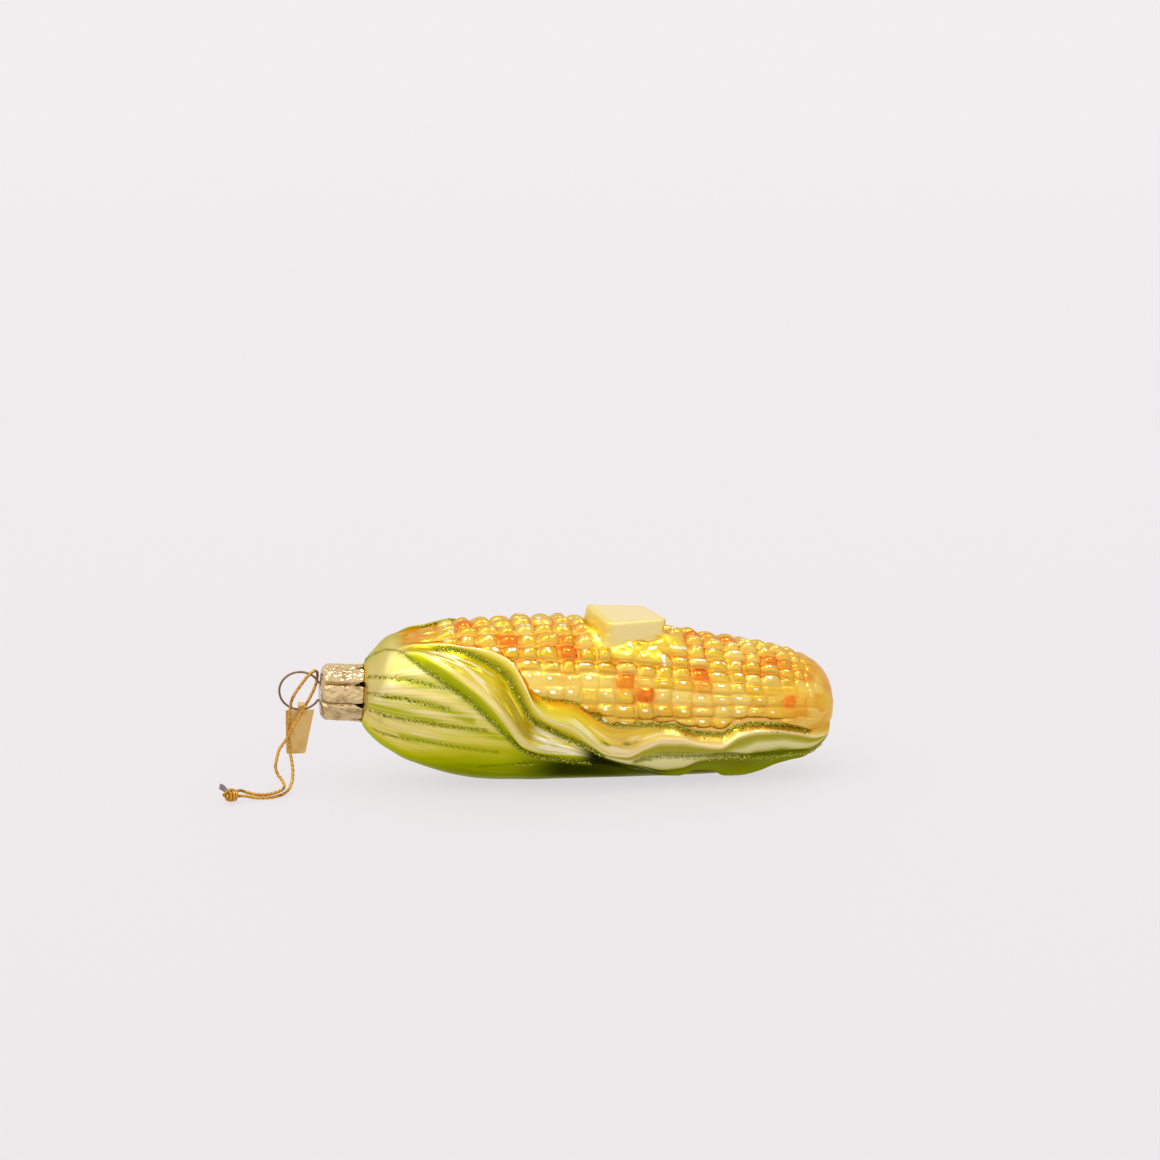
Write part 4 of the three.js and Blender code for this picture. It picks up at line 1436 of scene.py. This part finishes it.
    def _grid(self, loose: Chances) -> Kernels:
        """Lay out the rings and rows, a little uneven.

        Args:
            loose: Where the chances come from.

        Returns:
            The skin's places.
        """
        centres, rows = np.array(self.ring_centres), np.array(self.row_bounds, float)
        count = len(centres)
        first, last = self.ring_limits
        bounds = np.concatenate([[first], (centres[1:] + centres[:-1]) / 2, [last]])
        share = np.arange(self.samples) / self.samples
        ring_place = np.append(np.add.outer(np.arange(count), share), count - 0.03)
        row_place = np.append(np.add.outer(np.arange(len(rows) - 1), share), len(rows) - 1.0)
        hidden = np.linspace(rows[-1], rows[0] + 360, self.hidden_samples)[1:-1]
        angle = np.concatenate([np.interp(row_place, np.arange(len(rows)), rows), hidden])
        row_place = np.concatenate([row_place, np.full(len(hidden), len(rows) - 1.0)])
        ring, row = np.meshgrid(ring_place, row_place, indexing="ij")
        turn = np.broadcast_to(angle, ring.shape)
        along = np.interp(ring, np.arange(count + 1), bounds)
        facing = np.clip((turn + 12) / 87, -1.0, 1.3)
        along = along + self.lag * facing * band(along, self.lag_along)
        wander = np.sin(turn * 0.13 + 1.0) * np.sin(along * 0.11) + 0.5 * np.sin(turn * 0.31 + along * 0.23)
        along = along + self.wander * wander * band(along, self.wander_along)
        bare = band(turn, self.bare_turn)
        moved = self._stagger(ring, row, loose.uniform(-1, 1, (count + 1, len(rows))))
        along = along + self.jog[0] * moved * bare
        turned = self._stagger(row, ring, loose.uniform(-1, 1, (len(rows) + 1, count)))
        turn = turn + self.jog[1] * turned * bare * band(along, self.jog_along)
        low = ease(turn, *self.low_turn) * (1 - 0.4 * ease(turn, *self.lowest_turn))
        return Kernels(ring, row, along, turn, low, turn <= rows[-1], (count, len(rows)))

    @staticmethod
    def _stagger(first: Array, second: Array, table: Array) -> Array:
        """Give each kernel's wall its own shift, stepping to the next row's in the groove between.

        Args:
            first: Places across the walls.
            second: Places along them.
            table: The shift of each wall in each row.

        Returns:
            The shifts.
        """
        i = np.clip(first.astype(int), 0, table.shape[0] - 2)
        share = np.clip(first - i, 0, 1)
        k = np.clip(np.floor(second - 0.5).astype(int), 0, table.shape[1] - 2)
        step = ease(second - 0.5 - k, 0.3, 0.7)
        low = table[i, k] * (1 - share) + table[i + 1, k] * share
        high = table[i, k + 1] * (1 - share) + table[i + 1, k + 1] * share
        return low * (1 - step) + high * step

    def _crown(self, grid: Kernels, rng: Chances) -> Array:
        """Shape the kernels: beads above, fuller squares low on the front.

        Args:
            grid: The skin's places.
            rng: Where the chances come from.

        Returns:
            Heights from 0 in a groove to 1.
        """
        i, j, low = grid.i, grid.j, grid.low
        rings, rows = grid.shape
        across, over = np.abs(grid.u), np.abs(grid.v)
        fullness = grid.pick(rng.uniform(*self.fullness, grid.shape))
        squareness = self.squareness[0] * (1 - low) + self.squareness[1] * low
        depth = rng.uniform(*self.groove_share, (2, rings + 1, rows + 1))
        upper = np.arange(rows + 1) < self.bead_rows
        depth[:, :, upper] = 0.9 + 0.1 * depth[:, :, upper]
        deep_across = depth[0][i + (grid.u >= 0), j]
        deep_over = depth[1][i, j + (grid.v >= 0)]
        square = np.clip((1 - deep_across * across**squareness) * (1 - deep_over * over**squareness), 0, 1)
        reach = (across**self.bead_power + over**self.bead_power) ** (2 / self.bead_power)
        bead = np.clip(1 - reach, 0, 1) ** self.bead_fullness
        return np.where(grid.seen, square**fullness * low + bead * (1 - low), 0.0)

    def _radius(self, grid: Kernels, lift: Array, husk: Husk) -> Array:
        """Find the skin's radius.

        Args:
            grid: The skin's places.
            lift: Heights from 0 to 1.
            husk: The husk, which it sinks under.

        Returns:
            Radii in millimetres.
        """
        along, turn = grid.along, grid.turn
        base = Profile(self.crest)(along)
        radius = base - self.rise * (1 - self.low_flatness * grid.low) * (1 - lift)
        for at, angle_at, length, width, swell in self.mounds:
            away = np.hypot((along - at) / length, (turn - angle_at) / width)
            radius = radius + swell * ridge(away, 1.0)
        cover = husk.cover(along, turn) + self.early_end * band(along, self.early_end_along)
        radius = radius - husk.hidden_sink * ease(cover, *self.sunk)
        radius = radius - self.neck_sink * (1 - ease(along, *self.neck_end))
        return base - (base - radius) * ease(base, 0.5, 6.0)

    def _pools(self, along: Array, turn: Array) -> Array:
        """Find where melted butter lies.

        Args:
            along: Distances from the cap.
            turn: Angles from straight up.

        Returns:
            How much butter covers each place, from 0 to 1.
        """
        cover = np.zeros(along.shape)
        for at, angle, length, width in self.pools:
            away = np.hypot((along - at) / length, (turn - angle) / width)
            cover = np.maximum(cover, 1 - ease(away, 0.6, 1.1))
        return cover

    def _glow(self, grid: Kernels, crown: Array) -> Array:
        """Blush the orange kernels, and a little of what is round them.

        Args:
            grid: The skin's places.
            crown: Heights from 0 in a groove to 1.

        Returns:
            How orange each place is, from 0 to 1.
        """
        blush, spill = np.zeros(grid.shape), np.zeros(crown.shape)
        for k, m, share in self.orange_kernels:
            blush[k, m] = share
            away = np.hypot(grid.ring - k - 0.5, grid.row - m - 0.5)
            spill = np.maximum(spill, share * (1 - ease(away, 0.3, 0.95)))
        return np.maximum(grid.pick(blush) * ease(crown, 0.0, 0.4), 0.8 * spill)

    def _glints(self, grid: Kernels, loose: Chances) -> Array:
        """Paint one or two pale glints, as painted highlights, on each kernel, one only on the low rows.

        Args:
            grid: The skin's places.
            loose: Where the chances come from.

        Returns:
            How strongly each place is painted with a glint, from 0 to 1.
        """
        low = grid.low
        tipward = 0.25 * ease(np.array(self.ring_centres), 76.0, 84.0)[:, None]
        pearl = np.zeros(low.shape)
        for place, chance in self.glints:
            spot = grid.pick(loose.uniform(-1, 1, (2, *grid.shape)))
            width = grid.pick(loose.uniform(*self.glint_width, grid.shape)) + 0.08 * low
            tall = grid.pick(loose.uniform(*self.glint_height, grid.shape))
            wanted = grid.pick(loose.random(grid.shape) < chance + tipward) * (1 - low * (place > 0))
            across = grid.v + 0.35 * np.clip((grid.turn - 20) / 60, -1, 1) - (0.12 + 0.16 * low) * spot[1]
            beside = grid.u - place - (0.15 + 0.2 * low) * spot[0]
            pearl = np.maximum(pearl, np.exp(-((beside / width) ** 2) - (across / tall) ** 2) * wanted)
        return pearl


@dataclass
class ButterPat:
    """A square pat of butter, softened at its edges and flared at its foot."""

    length: float = 16.3
    width: float = 14.4
    top: float = 22.95
    base: float = 16.6
    along: float = 64.6
    across: float = 1.3
    lean: float = 9.2
    turn: float = 18.5
    dip: float = 5.5
    raised_corner: float = 1.7
    flare: float = 0.1
    squareness: float = 15.0
    steps: int = 22

    def build(self) -> bpy.types.Object:
        """Make the pat's piece.

        Returns:
            The object.
        """
        block = self._block()
        power = self.squareness
        flat = np.abs(block)
        size = np.maximum((flat**power).sum(-1, keepdims=True) ** (1 / power), 1e-6)
        soft = block * np.where(block[..., 2:] > 0, flat.max(-1, keepdims=True) / size, 1.0)
        closest = np.sort(np.abs(soft), axis=-1)
        foot = np.maximum(ease(-block[..., 2], -0.1, 0.9), 0.8 * ease(-soft[..., 0], 0.7, 0.95))
        rim = np.maximum(0.5 * ease(closest[..., 1], 0.5, 0.95), ease(np.abs(soft[..., 0]), 0.7, 1.0))
        made = skin(self._placed(soft), {"foot": foot, "rim": rim})
        made.masks["foot"][-2:] = 1.0, 0.0
        made.masks["rim"][-2:] = 0.0
        return made.piece("butter_pat", ButterLacquer("butter_lacquer"), "lacquered_glass", "glass_body")

    def _block(self) -> Array:
        """Make a block with rounded corners.

        Returns:
            Points from -1 to 1, as rings from its foot to the middle of its top.
        """
        n = self.steps
        line = np.linspace(-1, 1, n + 1)
        run, edge = line[:-1], np.ones(n)
        sides = [(run, -edge), (edge, run), (-run, edge), (-edge, -run)]
        around = np.concatenate([np.stack(side, -1) for side in sides])
        power = self.squareness
        rounded = around / (np.abs(around) ** power).sum(1)[:, None] ** (1 / power)
        rings = []
        for height in line:
            flare = 1 + self.flare * max(0.0, -height) ** 2
            rings.append(np.concatenate([rounded * flare, np.full((4 * n, 1), height)], 1))
        for inset in np.linspace(1, 0, n // 2)[1:-1]:
            rings.append(np.concatenate([rounded * inset, np.full((4 * n, 1), 1.0)], 1))
        return np.array(rings)

    def _placed(self, soft: Array) -> Array:
        """Size the block and set it on the ear.

        Args:
            soft: The block's points, from -1 to 1.

        Returns:
            Points in millimetres.
        """
        near, right = (1 - soft[..., 1]) / 2, (1 + soft[..., 0]) / 2
        raised = self.raised_corner * near * right * (1 + soft[..., 2]) / 2
        x, y = soft[..., 0] * self.length / 2, soft[..., 1] * self.width / 2
        z = soft[..., 2] * (self.top - self.base) / 2 + (self.top + self.base) / 2 + raised
        turn, lean, dip = (math.radians(angle) for angle in (self.turn, self.lean, self.dip))
        x, y = math.cos(turn) * x - math.sin(turn) * y, math.sin(turn) * x + math.cos(turn) * y - self.across
        y, z = y * math.cos(lean) - z * math.sin(lean), y * math.sin(lean) + z * math.cos(lean) - self.top
        x, z = x * math.cos(dip) + z * math.sin(dip), z * math.cos(dip) - x * math.sin(dip)
        return AXIS.place(self.along + x, y, self.top + z)


# ---- The metal parts and the cord -----------------------------------------------------------------


@dataclass
class Cap:
    """The fluted sheet-metal cap, scalloped at its skirt."""

    lobes: int = 8
    turn: float = 16.0
    sheet: float = 0.35
    inner_end: float = -9.85
    valley: float = 0.75
    lobe: float = 0.12
    inset: float = 0.1
    scallop: float = 2.0
    rings: int = 56
    steps: int = 30
    dent: float = 0.034
    dent_waves: tuple[int, ...] = (-41, -33, -26, -17, 13, 22, 29, 37, 46)
    crevice: float = 0.85
    outside: Points = (
        (-10.2, 0.35), (-10.18, 1.2), (-10.05, 2.6), (-9.95, 4.0), (-9.75, 5.2), (-9.5, 5.9), (-9.1, 6.4),
        (-8.5, 6.8), (-7.6, 6.95), (-6.2, 6.92), (-5.0, 7.0), (-3.8, 6.92), (-2.6, 6.95), (-1.0, 7.0),
        (0.5, 7.15),
    )

    def build(self) -> bpy.types.Object:
        """Make the cap's piece.

        Returns:
            The object.
        """
        count = self.lobes * self.steps
        angle = np.arange(count) * 360.0 / count
        across = np.abs(np.sin(np.radians(angle * self.lobes / 2)))
        points = np.array(self.outside)
        gone = gone_along(points)
        even = np.linspace(0, gone[-1], self.rings)
        at, radius = (np.interp(even, gone, points[:, i])[:, None] for i in (0, 1))
        wall = ease(radius, 5.0, 6.8)
        skirt = ease(at, -6.0, -0.2)
        pressed = self.valley * (1 - ease(across, 0.0, 0.42)) - self.lobe * across + self.inset
        outer = radius - wall * pressed + self._dents(at, angle, wall)
        place = -self.scallop * skirt * (1 - ease(across, 0.0, 0.5))
        outside = self._ring(at + place, outer, angle)
        inner = np.maximum(outer - self.sheet, 0.2)
        inside = self._ring(np.maximum(at, self.inner_end) + place, inner, angle)
        flute = self.crevice * ease(radius, 6.0, 6.8) * (1 - ease(across, 0.0, 0.16))
        masks = {"flute": np.concatenate([flute, flute[::-1]])}
        made = skin(np.concatenate([outside, inside[::-1]]), masks)
        made.masks["flute"][-2:] = 0.0
        return made.piece("cap_shell", CAP_METAL, "cap_metal", "cap")

    def _dents(self, at: Array, angle: Array, wall: Array) -> Array:
        """Give the crumples pressed into the sheet, as crossed waves.

        Args:
            at: Distances from the skirt.
            angle: Angles round the cap.
            wall: How far down the side wall each ring is, from 0 to 1.

        Returns:
            Heights in millimetres.
        """
        rng = np.random.default_rng(SEED)
        height = np.zeros((len(at), len(angle)))
        for waves in self.dent_waves:
            pitch, start, strength = rng.uniform(1.2, 3.4), rng.uniform(0, 6.3), rng.uniform(0.5, 1.0)
            height += strength * np.sin(waves * np.radians(angle) + pitch * at + start)
        return self.dent * wall * height

    def _ring(self, at: Array, radius: Array, angle: Array) -> Array:
        """Place rings round the neck's axis."""
        turn = np.radians(angle + self.turn)
        return AXIS.place(at, -radius * np.sin(turn), radius * np.cos(turn) - AXIS.neck_drop)


@dataclass
class Hanger:
    """The spring-wire hanger: an oval loop, and two legs inside the neck."""

    radius: float = 0.28
    sides: int = 14
    centre: float = -14.75
    half_length: float = 5.1
    half_height: float = 4.7
    gap: int = 28
    step: int = 8
    leg: Points = ((7, 3.7), (3, 3.5), (-1, 3.2), (-5, 2.8), (-9.3, 2.25))

    def build(self) -> bpy.types.Object:
        """Make the hanger's piece.

        Returns:
            The object.
        """
        turn = np.radians(np.arange(self.gap, 360 - self.gap + 1, self.step))
        loop = np.stack([self.centre + self.half_length * np.cos(turn), self.half_height * np.sin(turn)], -1)
        leg = np.array(self.leg, float)
        at, up = np.concatenate([leg, loop, leg[::-1] * (1, -1)]).T
        line = smooth_line(AXIS.place(at, np.zeros_like(at), up - AXIS.neck_drop), 0.3)
        return strand(line, self.radius, self.sides).piece("hanger", WIRE_METAL, "wire", "hanger_wire")


@dataclass
class Cord:
    """The gold cord: one closed loop over the hanger, tied off in a knot with two frayed tails."""

    radius: float = 0.4
    length: float = 0.1
    plies: int = 3
    lay: float = 2.4
    route: tuple[Vector, ...] = (
        (-60.5, -0.6, 28.6), (-60.1, 0.1, 28.1), (-60.0, 0.8, 27.3), (-60.1, 1.15, 26.4),
        (-60.25, 1.1, 25.6), (-60.4, 0.7, 25.0), (-60.7, 0.1, 24.4), (-61.1, -0.6, 23.6),
        (-61.6, -1.1, 22.8), (-62.2, -1.7, 21.8), (-62.9, -2.2, 20.8), (-63.5, -2.7, 19.8),
        (-64.5, -3.3, 18.4), (-65.4, -4.0, 16.9), (-66.5, -4.6, 15.3), (-67.3, -4.9, 14.0),
        (-68.0, -5.2, 12.7), (-68.9, -5.5, 11.5), (-69.9, -5.9, 10.1), (-70.6, -7.0, 7.9),
        (-70.9, -8.0, 6.1), (-70.3, -8.9, 4.5), (-69.3, -9.9, 3.2), (-69.0, -11.3, 2.0),
        (-70.2, -12.8, 1.35), (-73.0, -14.5, 1.1), (-75.9, -15.2, 1.35), (-78.2, -15.3, 2.0),
        (-79.7, -15.9, 2.6), (-81.3, -17.3, 2.5), (-81.5, -18.0, 1.9), (-80.9, -17.6, 1.5),
        (-80.0, -16.9, 1.5), (-78.4, -16.4, 1.3), (-75.9, -16.0, 0.7), (-72.4, -15.3, 0.5),
        (-69.5, -12.9, 0.55), (-67.8, -10.8, 1.4), (-67.0, -9.2, 2.8), (-66.7, -7.6, 4.6),
        (-66.8, -6.0, 6.8), (-67.2, -4.6, 9.2), (-67.4, -3.6, 11.5), (-67.6, -3.0, 14.2),
        (-67.3, -2.8, 16.9), (-66.9, -2.6, 19.9), (-66.5, -2.5, 21.8), (-65.4, -2.3, 23.8),
        (-63.9, -2.0, 25.8), (-62.6, -1.8, 27.4), (-61.7, -1.5, 28.2), (-61.0, -1.2, 28.6),
        (-60.5, -0.6, 28.6),
    )
    knot_centre: Vector = (-81.8, -18.2, 1.9)
    knot_way: Vector = (-0.84, -0.54, 0.05)
    knot_radius: float = 1.05
    knot_length: float = 2.4
    knot_turns: float = 3.0
    knot_cord: float = 0.42
    knot_lay: float = 2.0
    core: float = 0.6
    bridge: tuple[Vector, ...] = (
        (0.6, 1.25, 0.7), (-0.3, 1.35, 0.5), (-1.1, 0.9, 0.2), (-1.5, 0.1, 0.0),
    )
    tails: tuple[Vector, ...] = ((-0.66, 0.15, 0.72), (-0.72, 0.2, 0.65))
    tail_length: float = 3.9
    threads: int = 22
    thread: float = 0.17
    fray: Span = (0.16, 0.14)

    def build(self) -> None:
        line = smooth_line(np.array(self.route), 0.22)
        loop = strand(line, self.radius, 16, self.plies, self.lay)
        cord = loop.piece("cord_loop", CORD_THREAD, "cord", "cord")
        knot = self._knot().piece("cord_knot", CORD_THREAD, "cord", "knot")
        tails = self._tails().piece("cord_tails", TAIL_THREAD, "cord", "knot")

    def _knot(self) -> Shape:
        """Wind the cord round itself.

        Returns:
            The knot.
        """
        centre, way = np.array(self.knot_centre), unit(np.array(self.knot_way))
        side = unit(np.cross(way, (0.0, 0.0, 1.0)))
        over = np.cross(side, way)
        t = np.linspace(0, 1, 60)[:, None]
        turn = 2 * math.pi * self.knot_turns * t
        radius = self.knot_radius * (0.8 + 0.2 * np.sin(math.pi * t))
        place = (t - 0.5) * self.knot_length
        coil = centre + place * way + radius * (np.cos(turn) * side + np.sin(turn) * over)
        start = [coil[-1], coil[-1] + 0.5 * way + 0.3 * over]
        bridge = np.array([*start, *(centre + np.array(self.bridge) @ np.array([way, over, side]))])
        core = centre + np.array([[-1.5], [0.0], [1.5]]) * way
        wound = [smooth_line(run, 0.15) for run in (coil, bridge)]
        turns = [strand(line, self.knot_cord, 12, self.plies, self.knot_lay) for line in wound]
        return joined([*turns, strand(smooth_line(core, 0.3), self.core, 12)])

    def _tails(self) -> Shape:
        """Fray the two cut ends.

        Returns:
            The threads.
        """
        rng = np.random.default_rng(SEED)
        threads = []
        for tail in self.tails:
            way = unit(np.array(tail))
            for _ in range(self.threads):
                start = np.array(self.knot_centre) + rng.normal(0, self.fray[0], 3)
                reach = self.tail_length * rng.uniform(0.8, 0.98)
                splay = rng.normal(0, self.fray[1], 3)
                points = np.array([start, start + way * reach * 0.5, start + way * reach + splay])
                threads.append(strand(smooth_line(points, 0.25), self.thread, 6))
        return joined(threads)


# ---- Studio ---------------------------------------------------------------------------------------


@dataclass
class Studio:
    """The pale surface, the soft lights and the camera."""

    floor_radius: float = 9.0
    floor_sides: int = 96
    horizon: Colour = (0.893, 0.853, 0.869, 1.0)
    zenith: Colour = (1.0, 0.97, 0.98, 1.0)
    front: Colour = (1.15, 1.12, 1.11, 1.0)
    window: Colour = (1.9, 1.84, 1.8, 1.0)
    window_way: Vector = (-0.583, -0.281, 0.762)
    window_edge: Span = (0.86, 0.985)
    spot_distance: float = 1.2
    spot_ways: tuple[Vector, ...] = ((-0.22, -0.12, 1.0), (0.34, -0.12, 1.0))
    spot_size: Span = (0.18, 0.22)
    spot_power: float = 1.8
    camera_place: Vector = (-0.0894, -0.7281, 0.1759)
    camera_pitch: float = 80.252
    camera_yaw: float = -7.414
    lens: float = 93.10
    sensor: float = 36.0

    def camera(self) -> None:
        """Make the scene's camera."""
        lens = bpy.data.cameras.new("camera")
        lens.lens = self.lens
        lens.sensor_width = self.sensor
        lens.clip_start = 0.01
        lens.clip_end = 100.0
        made = put("camera", lens)
        made.location = self.camera_place
        made.rotation_euler = (math.radians(self.camera_pitch), 0.0, math.radians(self.camera_yaw))
        bpy.context.scene.camera = made

    def floor(self) -> None:
        """Make the surface that the ornament lies on."""
        count = self.floor_sides
        turn = np.linspace(0, 2 * math.pi, count, endpoint=False)
        rim = np.stack([np.cos(turn), np.sin(turn), np.zeros(count)], -1) * self.floor_radius
        mesh = bpy.data.meshes.new("table")
        faces = [(i, (i + 1) % count, count) for i in range(count)]
        mesh.from_pydata([*rim.tolist(), (0, 0, 0)], [], faces)
        mesh.materials.append(Paper("pale_paper").material())
        put("table", mesh)

    def spot(self, name: str, way: Vector) -> None:
        """Hang a softbox that faces the ornament.

        Args:
            name: Its name.
            way: The way to it from the ornament.
        """
        lamp = bpy.data.lights.new(name, "AREA")
        lamp.shape = "RECTANGLE"
        lamp.size, lamp.size_y = self.spot_size
        lamp.energy = self.spot_power
        direction = unit(np.array(way))
        made = put(name, lamp)
        made.location = direction * self.spot_distance
        made.rotation_euler = (math.acos(direction[2]), 0.0, math.atan2(direction[0], -direction[1]))
        made.visible_diffuse = False

    def world(self) -> None:
        """Light the room: even all round, brighter above and in front, with one soft window."""
        room = bpy.data.worlds.new("room")
        bpy.context.scene.world = room
        room.use_nodes = True
        tree = Tree(room.node_tree)
        way = tree.node("ShaderNodeTexCoord").outputs["Generated"]
        split = tree.node("ShaderNodeSeparateXYZ", None, {"Vector": way})
        up, toward = (Value(tree, split.outputs[axis]) for axis in "ZY")
        ways = {0: way, 1: self.window_way}
        facing = tree.node("ShaderNodeVectorMath", {"operation": "DOT_PRODUCT"}, ways)
        coats = [
            (up.rise(0.05, 0.9), self.zenith),
            ((0.0 - toward).rise(0.2, 0.9), self.front),
            (Value(tree, facing.outputs["Value"]).rise(*self.window_edge), self.window),
        ]
        inputs = {"Color": tree.layers(self.horizon, coats), "Strength": 1.0}
        background = tree.node("ShaderNodeBackground", None, inputs)
        tree.node("ShaderNodeOutputWorld", None, {"Surface": background.outputs["Background"]})

    def build(self) -> None:
        """Set the studio up."""
        self.camera()
        self.floor()
        self.world()
        for number, way in enumerate(self.spot_ways):
            self.spot(f"spot_{number}", way)
        bpy.context.scene.view_settings.view_transform = "Standard"


def main() -> None:
    """Build the ornament and its studio."""
    logging.basicConfig(level=logging.INFO, format="%(name)s: %(message)s")
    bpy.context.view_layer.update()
    Studio().build()
    Cord().build()
    husk = Husk()
    husk.build()
    Glitter(husk).build()
    Ear().build(husk)
    ButterPat().build()
    Cap().build()
    Hanger().build()
    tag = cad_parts["tag"]
    tag.data.materials.clear()
    tag.data.materials.append(TAG_METAL.material())


if __name__ == "__main__":
    main()
